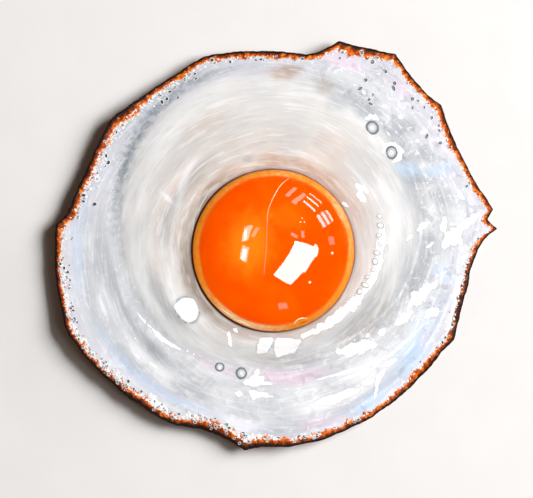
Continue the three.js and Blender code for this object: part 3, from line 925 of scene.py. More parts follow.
def painted_highlight_colour(paint, settings, base, strands, strokes):
    """The painted highlights over a colour, with a grey outline round them, and how much of a highlight each
    place is.
    """
    ragged = paint.sum(
        paint.centred(paint.noise(2.6, 2, 0.6), 1.4), paint.centred(strands, 0.9),
        paint.centred(paint.noise(0.9, 2, 0.6), 0.65),
    )
    even = paint.layer("even")
    edge = paint.sum(paint.layer("painted_highlight"), paint.times(ragged, paint.span(even, 0, 1, 1, 0.12)))
    base = paint.lay(base, settings.grey, edge, -0.34, -0.1, 0, 0.25)
    dashes = paint.span(paint.noise(1.1), 0.46, 0.54)
    base = paint.mix(paint.times(paint.span(edge, -0.14, -0.09), dashes, even, 0.6), base, settings.smoke)
    painted_highlight = paint.times(paint.span(edge, -0.05, 0.09), paint.span(strokes, 0.36, 0.5, 0.72, 1))
    return paint.mix(painted_highlight, base, settings.painted_highlight), painted_highlight


def crusted_colour(paint, settings, base, fine, coarse):
    """The browned crust and the specks inside it over a colour, and how much of the crust each place is."""
    depth = paint.layer("depth")
    lacy = paint.sum(depth, paint.centred(coarse, 1.3), paint.centred(fine, 0.8))
    crust, amount = paint.ramp(paint.span(lacy, 0, CRUST_RAMP, smooth=False), crust_stops(settings))
    mottle = paint.noise(1.1, 3, 0.62, 0.5)
    crust = paint.lay(crust, settings.gold, mottle, 0.54, 0.66, 0, 0.7)
    scorched = paint.sum(mottle, paint.times(paint.layer("scorched"), -0.24))
    crust = paint.lay(crust, settings.dark_brown, scorched, 0.5, 0.4, 0, 0.75)
    crust = paint.lay(crust, settings.char, scorched, 0.32, 0.2, 0, 0.9)
    crust = paint.lay(crust, settings.char, paint.sum(depth, paint.centred(coarse, 0.5)), 0.4, 0.18)
    specks = paint.sum(paint.noise(0.8, 1), paint.times(paint.layer("specks"), 0.3))
    base = paint.lay(base, settings.rust, specks, 0.86, 0.9)
    return paint.mix(amount, base, crust), amount


def crust_stops(settings):
    """Stops of the crust's ramp, from the edge in: position, colour and alpha."""
    char, dark, rust = settings.char, settings.dark_brown, settings.rust
    gold, blush = settings.gold, settings.blush
    return [
        (0.0, char, 1), (0.09, char, 1), (0.17, dark, 1), (0.24, dark, 1), (0.33, rust, 1), (0.43, rust, 1),
        (0.54, gold, 0.95), (0.61, blush, 0.45), (0.7, blush, 0.0),
    ]


def froth_material(settings):
    """Dabs of dry white froth."""
    paint = Paint("white_froth")
    tone = paint.lay(settings.froth, settings.pearl, paint.noise(1.2), 0.35, 0.7)
    toasted = paint.mix(paint.layer("toast"), tone, settings.gold)
    return paint.finish(
        Base_Color=toasted, Roughness=0.42, Ior=1.4, Coat_Weight=0.3, Coat_Roughness=0.12,
        Normal=paint.bump(paint.noise(0.15), 0.02), Subsurface_Weight=0.1, Subsurface_Scale=0.0006,
    )


def film_material(name, stops):
    """A bubble's film: its colour goes from the middle to the foot by the layer named film."""
    paint = Paint(name)
    wander = paint.centred(paint.noise(0.5), 0.16)
    tone, _ = paint.ramp(paint.sum(paint.layer("film"), wander), [(at, shade, 1) for at, shade in stops])
    return paint.finish(
        Base_Color=tone, Roughness=0.22, Ior=1.25, Coat_Weight=0.35, Coat_Roughness=0.04,
        Normal=paint.bump(paint.noise(0.3), 0.01), Subsurface_Weight=0.08, Subsurface_Scale=0.0006,
    )


def yolk_material(settings):
    """Raw yolk under its skin: deep orange, with a painted glow, a paler ring at the rim that is partly
    painted light with painted highlights on it, painted shade at its foot, and very glossy.
    """
    paint = Paint("raw_yolk")
    body = paint.lay(settings.deep, settings.orange, paint.noise(9, 2, 0.5, 0.4), 0.35, 0.7)
    # Painted glow in amber where light gathers.
    body = paint.mix(paint.layer("glow"), body, settings.amber)
    # The paler ring is partly painted light, with painted highlights where the layer named light is high.
    light = paint.sum(paint.layer("light"), paint.centred(paint.noise(0.9, 3, 0.6, 0.5), 0.7))
    ring = paint.lay(settings.rim, settings.rim_highlight, light, 0, 1)
    body = paint.mix(paint.layer("ring"), body, ring)
    # Painted shade round the yolk's foot and in its nick, where the coat fades too.
    seam = paint.layer("seam")
    body = paint.mix(seam, body, settings.seam)
    gloss = paint.times(paint.layer("gloss"), paint.span(seam, 0, 1, 1, 0.05))
    normal = paint.bump(paint.noise(2.5, 3), 0.015)
    return paint.finish(
        Base_Color=body, Roughness=0.35, Normal=normal, Specular_IOR_Level=0.0, Coat_Weight=gloss,
        Coat_Roughness=0.02, Coat_Ior=1.6, Subsurface_Weight=0.3, Subsurface_Radius=(1.0, 0.3, 0.05),
        Subsurface_Scale=0.002,
    )


def membrane_material(settings):
    """The fold in the yolk's skin, pale in the colour of the rim's painted highlights."""
    paint = Paint("yolk_membrane")
    tone = paint.mix(paint.layer("pale"), settings.orange, settings.rim_highlight)
    tone = paint.lay(tone, settings.amber, paint.noise(0.6), 0.4, 0.6, 0, 0.15)
    return paint.finish(
        Base_Color=tone, Roughness=0.25, Normal=paint.bump(paint.noise(0.3), 0.01),
        Coat_Weight=1.0, Coat_Roughness=0.04,
    )


def floor_material(settings):
    """A pale matt surface with the faintest mottling."""
    paint = Paint("pale_floor")
    lighter = tuple(min(1, value * 1.02) for value in settings.floor)
    tone = paint.lay(settings.floor, lighter, paint.noise(14, 3), 0.35, 0.65)
    return paint.finish(
        Base_Color=tone, Roughness=0.75, Normal=paint.bump(paint.noise(0.8, 3), 0.01), Specular_IOR_Level=0.2
    )


# ---------- The white ----------

INNER_SIDES = 660
OUTER_SIDES = 1320
INNER_RINGS = 54
OUTER_RINGS = 26
OUTER_WIDTH = 6.5  # the finer band inside the edge
EDGE_ROUND = 0.35  # how far the rounded edge bulges past its corners
EDGE_STEPS = 5
BAND_CROWDING = 0.9  # under 1, the rings of the finer band crowd towards the edge
BAND_GAP = 0.6  # from the last inner ring to the finer band, in steps of the inner rings
UNDER_RINGS = 6
UNDER_SIDES = (660, 330, 165)
POCKET_SIDES = (165, 330, 660, 660)
SETTLE_WIDTH = 1.2  # width over which the lifted edge comes down to the floor
FAR_INSET = 9 * OUTER_WIDTH  # given to points that are nowhere near the edge
DARK_SIDE = 215  # bearing at which the burnt line is widest: partly painted shade, on the side away from the lamps
UNDER_SHIFT = 20  # sets the underside's strands apart from the top's


def white_rings(settings):
    """Rings of the white from the pocket's floor over the top and the edge to the underside's middle."""
    form = white_form()
    rings = []

    def add(sides, distance, height, inset, under=0.0):
        parts = [np.broadcast_to(np.asarray(part, float), sides) for part in (distance, height, inset, under)]
        rings.append(np.stack([even_bearings(sides), *parts], axis=1))

    depth = YOLK_GIRTH_HEIGHT - YOLK_BASE + POCKET_GAP
    lip = YOLK_RADIUS - LIP_OVERLAP
    add(1, 0, YOLK_GIRTH_HEIGHT - depth, FAR_INSET)
    for i, sides in enumerate(POCKET_SIDES, 1):
        distance, drop = superellipse(i / (len(POCKET_SIDES) + 1), lip, depth, YOLK_BELLY_FULLNESS)
        add(sides, distance, YOLK_GIRTH_HEIGHT - drop, FAR_INSET)
    bearing = even_bearings(INNER_SIDES)
    reach = ragged_reach(bearing)
    for i in range(INNER_RINGS + 1):
        distance = blend(lip, reach - OUTER_WIDTH, i / (INNER_RINGS + BAND_GAP))
        add(INNER_SIDES, distance, top_height(bearing, distance, reach, settings), reach - distance)
    bearing = even_bearings(OUTER_SIDES)
    reach = ragged_reach(bearing)
    for i in range(OUTER_RINGS + 1):
        inset = blend(OUTER_WIDTH, EDGE_ROUND, (i / OUTER_RINGS) ** BAND_CROWDING)
        distance = reach - inset
        add(OUTER_SIDES, distance, top_height(bearing, distance, reach, settings), inset)
    high = top_height(bearing, reach - EDGE_ROUND, reach, settings)
    low = form.height(form.under, bearing, reach - EDGE_ROUND)
    for i in range(1, EDGE_STEPS):
        turn = math.pi * i / EDGE_STEPS
        inset = EDGE_ROUND * (1 - math.sin(turn))
        height = blend(low, high, (1 + math.cos(turn)) / 2)
        add(OUTER_SIDES, reach - inset, height, inset * (i < EDGE_STEPS / 2))
    for i in range(UNDER_RINGS + 1):
        inset = blend(EDGE_ROUND, CURL_WIDTH, i / UNDER_RINGS)
        distance = reach - inset
        lifted = 1 - between(inset, CURL_WIDTH - SETTLE_WIDTH, CURL_WIDTH)
        add(OUTER_SIDES, distance, form.height(form.under, bearing, distance) * lifted, inset, 1)
    for i, sides in enumerate(UNDER_SIDES, 1):
        reach = ragged_reach(even_bearings(sides))
        add(sides, (reach - CURL_WIDTH) * (1 - i / (len(UNDER_SIDES) + 1)), 0, FAR_INSET, 1)
    add(1, 0, 0, FAR_INSET, 1)
    return rings


def top_height(bearing, distance, reach, settings):
    """Height of the dressed top."""
    form = white_form()
    inset = reach - distance
    return form.height(form.top, bearing, distance) + relief(bearing, distance, inset, settings)


def superellipse(along, half_width, half_height, fullness):
    """Distance and height of a full arc, from its pole (0) to its girth (1)."""
    angle = np.asarray(along) * math.pi / 2
    return half_width * np.sin(angle) ** (2 / fullness), half_height * np.cos(angle) ** (2 / fullness)


def make_white(settings):
    """Makes the set white with its folds, froth and crust."""
    rings = white_rings(settings)
    values, faces = skin(rings)
    bearing, distance, height, inset, under = values.T
    x, y = to_xy(bearing, distance)
    width = settings.crust_width / MM * around(bearing, CRUST_WIDTH)
    width *= 1 + 0.5 * noise(bearing / 2, inset / 4, 51, wrap=180)
    # The burnt line is partly painted shade: it widens on the side away from the lamps.
    shady = 0.5 + 0.5 * np.cos(np.radians(bearing - DARK_SIDE))
    burnt = around(bearing, BURNT) + 0.5 * noise(bearing / 2.5, inset / 2, 53, wrap=144)
    depth = inset / width - settings.char_width / MM * (0.1 + 0.6 * shady)
    depth -= 0.3 * np.clip(burnt - 0.25, 0, 0.6)
    # Painted shade along the white's lip against the yolk, darkest on the side away from the lamps.
    dark = around(bearing, CONTACT_SHADE_DARK)
    lip = (distance - YOLK_RADIUS) / (0.15 + 0.55 * dark**2)
    depth = np.where(inset > 1.8 * width, 9, depth)
    browned = 0.9 + 1.3 * noise(x / 2.5, y / 2.5, 52) + np.clip(inset, 0, 12) * 0.12
    even = (between(-np.hypot(x - ax, y - ay), -EVEN_FAR, -EVEN_NEAR) for ax, ay in EVEN)
    crease = np.clip(crease_depth(bearing, distance), 0, 1)
    thin = between(distance - thick_edge(bearing), -3, 1.5)
    layers = {
        "tint": white_tint(bearing, distance, inset, settings),
        "swirl": swirled(bearing, distance) + under * UNDER_SHIFT,
        "depth": np.where(under > 0, browned, depth),
        "froth": froth_amount(bearing, inset) * (1 - under),
        "specks": (1 - between(inset, 2, 4.5)) * around(bearing, SPECKLED),
        # Painted highlights on the white.
        "painted_highlight": np.where(under > 0, -PAINTED_HIGHLIGHT_REACH, painted_highlight_depth(bearing, distance)),
        "even": np.clip(sum(even), 0, 1),
        "seam": np.clip(lip, -1, 9),
        "contact_shade_dark": np.clip(1.6 * dark - 0.5, 0, 1),
        "scorched": np.clip(burnt - 0.5, 0, 1.1),
        "crease": around(bearing, CREASE_SHADE) ** 1.5 * crease * (1 - under),
        "veined": around(bearing, SCRIBBLED) * thin * (1 - under),
    }
    points = np.stack([x, y, height], axis=1)
    add_piece("set_white", points, faces, white_material(settings), layers, "egg_white")


def surface_heights(x, y):
    """Height and normal of the made white at places."""
    piece = bpy.data.objects.get("set_white")
    if piece is None:
        raise RuntimeError("make the white first")
    tree = white_tree(piece.name)
    heights, normals = [], []
    for px, py in zip(x, y):
        hit, normal, _, _ = tree.ray_cast(Vector((px, py, YOLK_TOP)), Vector((0, 0, -1)))
        if hit is None:
            raise RuntimeError(f"the white doesn't reach to {px:.2f}, {py:.2f}")
        heights.append(hit.z)
        normals.append(normal)
    return np.array(heights), np.array(normals)


@lru_cache(maxsize=None)
def white_tree(name):
    """Search tree of the made white, in millimetres round the yolk's centre."""
    mesh = bpy.data.objects[name].data
    points = np.empty(len(mesh.vertices) * 3, np.float32)
    mesh.vertices.foreach_get("co", points)
    corners = np.empty(len(mesh.loops), np.int32)
    mesh.loops.foreach_get("vertex_index", corners)
    points = points.reshape(-1, 3) / MM - CENTRE
    return BVHTree.FromPolygons(points.tolist(), corners.reshape(-1, 3).tolist())


# ---------- Froth, burst bubbles and blisters ----------

DAB = [(0, -0.5), (0.75, -0.4), (1.0, -0.05), (0.7, 0.2), (0, 0.3)]
DAB_SIDES = 7
DAB_RADII = (0.12, 0.32)
DAB_STRETCH = (1, 2.2)
DAB_BAND = 5.5  # how far in from the crust dabs may lie
DAB_TRIES = 4  # places tried for each dab
FROTH_SEED = 7
# Burst bubbles: first and last bearing, least and greatest distance in from the edge, and how many.
PIT_FIELDS = [
    (100, 150, 1.3, 3.2, 6), (150, 185, 1.2, 4.5, 12), (185, 235, 0.9, 3.6, 62), (235, 262, 0.9, 4.0, 34),
    (262, 300, 1.0, 2.4, 16), (75, 100, 1.2, 2.6, 8), (-60, 20, 1.2, 3, 8),
]
# Burst bubbles in known places: bearing, distance and size against the mean.
PITS = [
    (126.9, 48.4, 1.1), (125.1, 48.3, 1.0), (123.1, 49.4, 0.9), (121.2, 49.6, 0.8), (122.0, 46.9, 0.7),
    (123.3, 51.0, 0.7), (117.4, 50.1, 1.0), (114.0, 50.4, 0.8), (114.3, 49.1, 0.8), (107.9, 52.2, 1.1),
    (107.4, 51.2, 0.7), (150.5, 50.1, 1.0), (152.0, 48.8, 1.2), (156.2, 50.2, 0.7), (158.1, 49.5, 0.8),
    (163.8, 51.6, 1.1), (165.5, 51.2, 0.9), (165.5, 48.2, 1.2), (70.9, 54.7, 1.0), (66.0, 56.5, 1.1),
    (71.0, 53.0, 0.8), (62.3, 55.5, 1.3), (61.8, 57.1, 1.0), (58.1, 55.1, 1.3), (61.6, 50.5, 1.2),
    (61.9, 47.8, 1.3), (57.4, 48.1, 0.8), (57.7, 46.5, 1.0), (56.5, 45.8, 1.2), (54.1, 53.8, 1.2),
    (53.5, 52.6, 1.4), (47.5, 53.6, 1.2), (46.0, 54.2, 0.7), (45.8, 52.0, 0.9), (43.5, 54.2, 0.7),
    (40.0, 53.8, 1.0), (37.1, 54.0, 0.8), (35.9, 53.3, 0.9), (36.7, 49.8, 1.2), (32.8, 51.7, 1.1),
]
PIT = [(0, -0.6), (1.25, -0.6), (1.45, -0.05), (1.2, 0.2), (0.95, 0.22), (0.8, 0.08), (0, 0.05)]
RING = [(0, -0.6), (1.3, -0.6), (1.4, 0.0), (1.15, 0.2), (0.9, 0.1), (0.7, 0.14), (0.45, 0.3), (0, 0.36)]
PIT_SIDES = 10
PIT_RADII = (0.6, 1.15)  # against the mean radius
PIT_PLACED = 1.2  # how much larger those in known places are
PIT_STRETCH = (1.0, 2.0)
PIT_RAMP = 1.5  # distance from the middle, in radii, at which the ramp of colours ends
SHALLOW = 0.56  # least place on the ramp for the paler bubbles, between the two bearings below
SHALLOW_FROM = 15
SHALLOW_TO = 75
RING_SHARE = 0.3  # share of the bubbles that still have a film in the middle
RING_FROM = 90  # bearing from which on there are such
RIM_POINTS = 6
RIM_SHARE = 0.7  # how far out under a dish the white is measured, as a share of its radius
RIM_CLEARANCE = 0.6  # 0 sets a dish at the mean height found there, and 1 at the greatest


def film_layer(points, copies):
    """Distance of each point from its bubble's middle, as a share of its radius."""
    return np.tile(np.hypot(points[:, 0], points[:, 1]), copies)


def make_froth(settings):
    """Makes the dabs of froth along the edge and the burst bubbles in it."""
    rng = np.random.default_rng(FROTH_SEED)
    tries = settings.dabs * DAB_TRIES
    bearing = rng.uniform(0, 360, tries)
    crust = 1.1 * settings.crust_width / MM * around(bearing, CRUST_WIDTH)
    inset = crust + DAB_BAND * rng.random(tries) ** 1.5
    kept = rng.uniform(0, 1, tries) < froth_amount(bearing, inset) ** 1.8
    bearing, inset = bearing[kept][: settings.dabs], inset[kept][: settings.dabs]
    x, y = to_xy(bearing, ragged_reach(bearing) - inset)
    heights, normals = surface_heights(x, y)
    sizes = rng.uniform(*DAB_RADII, len(x)) * (0.8 + 0.7 * rng.random(len(x)) ** 3)
    turns = rng.uniform(0, TURN, len(x))
    stretch = rng.uniform(*DAB_STRETCH, len(x))
    spots = np.stack([x, y, heights], axis=1)
    points, faces = scattered(spun(DAB, DAB_SIDES), spots, sizes, turns, normals, stretch)
    toast = np.repeat((1 - between(inset, 0.9, 1.7)) * rng.random(len(x)), len(points) // len(x))
    add_piece("froth_dabs", points, faces, froth_material(settings), {"toast": toast})
    make_pits(settings, rng)


def make_pits(settings, rng):
    """Makes the burst bubbles: some open dishes, some with a film left in the middle, painted dark inside as
    the shade of a hole.
    """
    bearings, insets = [], []
    for start, end, near, far, number in PIT_FIELDS:
        bearings.append(rng.uniform(start, end, number))
        insets.append(rng.uniform(near, far, number))
    bearing, inset = np.concatenate(bearings), np.concatenate(insets)
    placed_bearing, placed_distance, placed_size = np.array(PITS).T
    distance = np.concatenate([ragged_reach(bearing) - inset, placed_distance])
    bearing = np.concatenate([bearing, placed_bearing])
    x, y = to_xy(bearing, distance)
    scale = np.concatenate([rng.uniform(*PIT_RADII, len(inset)), PIT_PLACED * placed_size])
    sizes = settings.pit_radius / MM * scale
    turns = rng.uniform(0, TURN, len(x))
    stretch = rng.uniform(*PIT_STRETCH, len(x))
    bearing = np.mod(bearing, 360)
    filmed = (rng.random(len(x)) < RING_SHARE) & (bearing > RING_FROM)
    heights, normals = rim_heights(x, y, sizes)
    shallow = np.where((bearing > SHALLOW_FROM) & (bearing < SHALLOW_TO), SHALLOW, 0)
    pit, grey, pearl, froth = settings.pit, settings.grey, settings.pearl, settings.froth
    # The dishes are painted dark as the shade of an open hole, paling towards their rims; the filmed ones get
    # a painted dark ring.
    open_stops = [(0, pit), (0.5, pit), (0.64, grey), (0.78, pearl)]
    film_stops = [(0, froth), (0.3, grey), (0.42, pit), (0.58, pit), (0.7, pearl)]
    for name, profile, chosen, stops in (
        ("burst_bubbles", PIT, ~filmed, open_stops), ("ring_bubbles", RING, filmed, film_stops)
    ):
        shape = spun(profile, PIT_SIDES)
        places = np.stack([x, y, heights], axis=1)[chosen]
        points, faces = scattered(
            shape, places, sizes[chosen], turns[chosen], normals[chosen], stretch[chosen]
        )
        film = film_layer(shape[0], len(places)) / PIT_RAMP
        film = np.maximum(film, np.repeat(shallow[chosen], len(shape[0])))
        add_piece(name, points, faces, film_material(name, stops), {"film": film})


def rim_heights(x, y, sizes):
    """Height at which a dish clears the lumps under it, and the mean normal there."""
    found = [surface_heights(x, y)]
    away = RIM_SHARE * sizes
    for angle in np.arange(RIM_POINTS) * TURN / RIM_POINTS:
        found.append(surface_heights(x + away * math.cos(angle), y + away * math.sin(angle)))
    heights = np.array([height for height, _ in found])
    normals = np.mean([normal for _, normal in found], axis=0)
    return blend(heights.mean(axis=0), heights.max(axis=0), RIM_CLEARANCE), normals


BLISTER_SIDES = 36
BLISTER_STEPS = 11
BLISTER_RISE = 0.4  # height of a blister's top over the white, as a share of its radius
BLISTER_FOOT = 0.5  # how deep its foot is sunk in the white, as a share of its radius
BLISTER_STRETCH = (1, 1.15)
BLISTER_RAMP = 1.2  # distance from the middle, in radii, at which the ramp of colours ends
BLISTER_SEED = 19
RUN_STRETCH = (0.9, 1.7)
SEAT_POINTS = 12


def blister_profile():
    """Closed profile of a blister: a sunk foot, a low swollen ring and the film over it."""
    dome = []
    for i in range(BLISTER_STEPS):
        along = 1 - i / BLISTER_STEPS
        height = BLISTER_RISE * (1 - along**2.4) + 0.05 * math.exp(-(((along - 0.86) / 0.1) ** 2))
        dome.append((along, height))
    return [(0, -BLISTER_FOOT), (0.98, -BLISTER_FOOT), (1.04, -0.12), *dome, (0, BLISTER_RISE)]


def seat(x, y, radius):
    """Height and normal of the plane that best follows the white under round pieces."""
    angles = np.arange(SEAT_POINTS) * TURN / SEAT_POINTS
    rims = [surface_heights(x + radius * math.cos(a), y + radius * math.sin(a))[0] for a in angles]
    slope_x, slope_y = (
        2 * (np.array(rims) * way[:, None]).mean(axis=0) / radius for way in (np.cos(angles), np.sin(angles))
    )
    middle, _ = surface_heights(x, y)
    normals = np.stack([-slope_x, -slope_y, np.ones(len(x))], axis=1)
    return blend(np.mean(rims, axis=0), middle, 0.5), normals


def make_blisters(settings):
    """Makes the blisters, with a grey ring of painted shade round their film, and the run of small ones."""
    rng = np.random.default_rng(BLISTER_SEED)
    pit, grey, froth, pearl = settings.pit, settings.grey, settings.froth, settings.pearl
    smoke = tuple((a + b) / 2 for a, b in zip(pit, grey))
    haze = tuple((a + b) / 2 for a, b in zip(grey, pearl))
    large_stops = [
        (0, grey), (0.13, froth), (0.3, haze), (0.46, haze), (0.54, grey), (0.62, smoke), (0.72, smoke),
        (0.79, grey), (0.85, pearl),
    ]
    small_stops = [(0, froth), (0.45, froth), (0.54, haze), (0.62, smoke), (0.69, haze), (0.78, froth)]
    shape = spun(blister_profile(), BLISTER_SIDES)
    for name, places, dressed, stretches, stops in (
        ("ringed_blisters", BLISTERS, 1, BLISTER_STRETCH, large_stops),
        ("small_blisters", small_blisters(), RUN_DRESSED, RUN_STRETCH, small_stops),
    ):
        bearing, distance, radius = np.array(places).T
        x, y = to_xy(bearing, distance)
        stretch = rng.uniform(*stretches, len(x))
        radius = radius * dressed
        heights, normals = seat(x, y, radius)
        spots = np.stack([x, y, heights], axis=1)
        points, faces = scattered(shape, spots, radius, rng.uniform(0, TURN, len(x)), normals, stretch)
        layer = {"film": film_layer(shape[0], len(places)) / BLISTER_RAMP}
        add_piece(name, points, faces, film_material(name, stops), layer)


# ---------- The yolk ----------

YOLK_SIDES = 320
DOME_RINGS = 84
BELLY_RINGS = 10
NOTCH = (-68.2, 9.4)  # bearing and height of the nick in its side
NOTCH_HALF = (1.5, 0.75)
NOTCH_DEPTH = 0.45
RING_HIGHLIGHT = [  # how much painted highlight lies on the rim's ring, by bearing
    (0, 0.25), (15, 0.25), (28, 0.45), (40, 0.35), (60, 0.1), (85, 0.3), (110, 0.1), (135, 0.15), (150, 0.0),
    (200, 0.05), (220, 0.3), (236, 0.75), (255, 0.65), (270, 0.4), (285, 0.1), (310, 0.0), (340, 0.1),
]
# The fold in the skin: places that it runs through, from the rim to past the middle.
MEMBRANE = [
    (78.0, 19.0), (80.3, 18.1), (83.5, 17.2), (88.0, 14.8), (94.4, 11.9), (99.2, 9.8), (104.9, 6.6),
    (119.4, 3.7), (-176.2, 2.0), (-110.5, 7.1),
]
# Short pale folds at the rim: painted highlights made as pale folds.
RIM_HIGHLIGHT_FOLDS = [
    [(-74.5, 19.7), (-73.2, 19.2), (-70.2, 18.7), (-66.5, 18.9), (-63.5, 19.5)],
    [(226, 20.3), (230, 20.1), (234, 20.0), (238, 20.2)],
    [(240, 20.4), (245, 20.1), (250, 20.2), (255, 20.5)],
]
MEMBRANE_RADIUS = 0.17
FOLD_STEPS = 90
FOLD_SIDES = 8
FOLD_SMOOTH = 4  # points on either side that each point of a fold is averaged with
# Beads of air, pale, which stand partly for small painted highlights: bearing, distance and radius.
BEADS = [(48.7, 11.0, 0.2), (46.9, 10.0, 0.22), (42.7, 10.7, 0.2), (-2.5, 15.0, 0.42), (-41.4, 12.3, 0.4)]
BEAD = [(0, -0.5), (0.8, -0.3), (1, 0.1), (0.75, 0.5), (0.35, 0.68), (0, 0.72)]
BEAD_SIDES = 14
# Painted glow where light gathers in the yolk, in amber: strength, place, and half length and half width.
GLOWS = [(0.8, (166, 6.5), (8, 6)), (0.3, (70, 9), (5, 3))]
RING_HEIGHTS = (YOLK_GIRTH_HEIGHT + 0.5, YOLK_GIRTH_HEIGHT + 3.4)  # the pale ring comes in between these
CONTACT_SHADE_HEIGHTS = (YOLK_GIRTH_HEIGHT + 1.0, YOLK_GIRTH_HEIGHT + 2.2)  # the painted shade at the yolk's foot goes out between these
GLOSS_INSETS = (2.3, 4.2)  # the full gloss comes in between these distances from the girth


def yolk_height(distance):
    """Height of the smooth dome."""
    rise = YOLK_TOP - YOLK_GIRTH_HEIGHT
    full = np.clip(1 - (distance / YOLK_RADIUS) ** YOLK_DOME_FULLNESS, 0, 1)
    return YOLK_GIRTH_HEIGHT + rise * full ** (1 / YOLK_DOME_FULLNESS)


def yolk_wave(x, y, height):
    """Slow waves of the dome, which fade towards its girth."""
    return 0.07 * noise(x / 8 + 30, y / 8 + 30, 62) * between(height, YOLK_GIRTH_HEIGHT, YOLK_TOP)


def yolk_rings():
    """Rings of the yolk from its underside's pole to the top of its dome."""
    bearing = even_bearings(YOLK_SIDES)
    depth, rise = YOLK_GIRTH_HEIGHT - YOLK_BASE, YOLK_TOP - YOLK_GIRTH_HEIGHT
    profile = []
    for i in range(1, BELLY_RINGS):
        distance, drop = superellipse(i / BELLY_RINGS, YOLK_RADIUS, depth, YOLK_BELLY_FULLNESS)
        profile.append((distance, YOLK_GIRTH_HEIGHT - drop))
    for i in range(DOME_RINGS):
        distance, lift = superellipse(1 - i / DOME_RINGS, YOLK_RADIUS, rise, YOLK_DOME_FULLNESS)
        profile.append((distance, YOLK_GIRTH_HEIGHT + lift))
    rings = [np.array([[0, 0, YOLK_BASE]])]
    for distance, height in profile:
        dent = notch_depth(bearing, height)
        slack = 0.05 * noise(bearing / 18, height / 4, 61, wrap=20)
        slack *= between(height, YOLK_BASE, YOLK_GIRTH_HEIGHT)
        x, y = to_xy(bearing, distance * (1 - (dent - slack) / YOLK_RADIUS))
        rings.append(np.stack([x, y, height + yolk_wave(x, y, height)], axis=1))
    rings.append(np.array([[0, 0, rings[-1][:, 2].mean()]]))
    return rings


def notch_depth(bearing, height):
    """Depth of the nick in the yolk's side."""
    away = (np.mod(bearing - NOTCH[0] + 180, 360) - 180) * math.radians(1) * YOLK_RADIUS
    return NOTCH_DEPTH * np.exp(-((away / NOTCH_HALF[0]) ** 2) - ((height - NOTCH[1]) / NOTCH_HALF[1]) ** 2)


def make_yolk(settings):
    """Makes the yolk, the fold in its skin and the beads of air on it."""
    points, faces = skin(yolk_rings())
    x, y, height = points.T
    bearing, distance = np.degrees(np.arctan2(y, x)), np.hypot(x, y)
    inset = YOLK_RADIUS - distance
    # A paler ring inside the rim, partly painted light, and the painted highlights on it.
    width = settings.ring_width / MM * (1 + 0.25 * noise(bearing / 20, height * 0, 71, wrap=18))
    ring = 1 - between(inset, 0.7 * width, 1.1 * width)
    ring *= 0.85 + 0.3 * noise(bearing / 4, inset, 72, wrap=90)
    ring *= between(height, *RING_HEIGHTS)
    # Painted shade round the foot of the yolk, and a painted dark spot in its nick.
    seam = (1 - between(height, *CONTACT_SHADE_HEIGHTS)) * around(bearing, CONTACT_SHADE_DARK)
    seam = np.maximum(seam, 0.35 * between(notch_depth(bearing, height), 0.12, 0.4))
    glow = sum(amount * patch(bearing, distance, at, half) for amount, at, half in GLOWS)
    light = around(bearing, RING_HIGHLIGHT) + 0.25 * noise(bearing / 3, inset * 2, 73, wrap=120)
    layers = {
        "ring": np.clip(ring, 0, 1),
        "gloss": 0.2 + 0.8 * between(inset, *GLOSS_INSETS),
        "light": np.clip(light, 0, 1),
        "seam": np.clip(seam, 0, 1),
        "glow": np.clip(glow, 0, 1),
    }
    add_piece("yolk_dome", points, faces[:, ::-1], yolk_material(settings), layers, "egg_yolk")
    make_membrane(settings)
    make_beads()


def yolk_surface(x, y):
    """Points of the dressed dome over places, with its slow waves."""
    height = yolk_height(np.hypot(x, y))
    return np.stack([x, y, height + yolk_wave(x, y, height)], axis=1)


def make_membrane(settings):
    """Makes the fine fold that runs down the yolk's skin, and the short pale ones at its rim that stand in
    for highlights.
    """
    parts = [fold(MEMBRANE, MEMBRANE_RADIUS, 1.7)]
    parts += [fold(places, 1.3 * MEMBRANE_RADIUS, 0.0) for places in RIM_HIGHLIGHT_FOLDS]
    firsts = np.cumsum([0] + [len(points) for points, _, _ in parts])
    points = np.concatenate([points for points, _, _ in parts])
    faces = np.concatenate([faces + first for (_, faces, _), first in zip(parts, firsts)])
    pale = np.concatenate([pale for _, _, pale in parts])
    add_piece("yolk_membrane", points, faces, membrane_material(settings), {"pale": pale})


def fold(places, widest, fading):
    """Points, triangles and paleness of one fold that runs through places on the dome."""
    corners = np.array([to_xy(*place) for place in places])
    steps = np.concatenate([[0], np.cumsum(np.hypot(*np.diff(corners, axis=0).T))])
    along = np.linspace(0, steps[-1], FOLD_STEPS)
    x, y = (np.interp(along, steps, corners[:, i]) for i in (0, 1))
    kernel = np.ones(2 * FOLD_SMOOTH + 1) / (2 * FOLD_SMOOTH + 1)
    for way in (x, y):
        way[FOLD_SMOOTH:-FOLD_SMOOTH] = np.convolve(way, kernel, "valid")
    line = yolk_surface(x, y)
    ahead = np.gradient(line, axis=0)
    ahead /= np.linalg.norm(ahead, axis=1)[:, None]
    side = np.cross(ahead, (0, 0, 1))
    side /= np.linalg.norm(side, axis=1)[:, None]
    up = np.cross(side, ahead)
    done = np.linspace(0, 1, len(line))
    pale = np.clip(1.2 - fading * done, 0.1, 1)
    radius = widest * (0.45 + 0.55 * pale) * np.sin(math.pi * np.clip(done, 0.02, 0.98)) ** 0.4
    angle = np.arange(FOLD_SIDES) * TURN / FOLD_SIDES
    rings = [line[:1]]
    for point, s, u, r in zip(line, side, up, radius):
        rings.append(point + r * (np.cos(angle)[:, None] * s + 0.7 * np.sin(angle)[:, None] * u))
    rings.append(line[-1:])
    points, faces = skin(rings)
    return points, faces[:, ::-1], np.concatenate([pale[:1], np.repeat(pale, len(angle)), pale[-1:]])


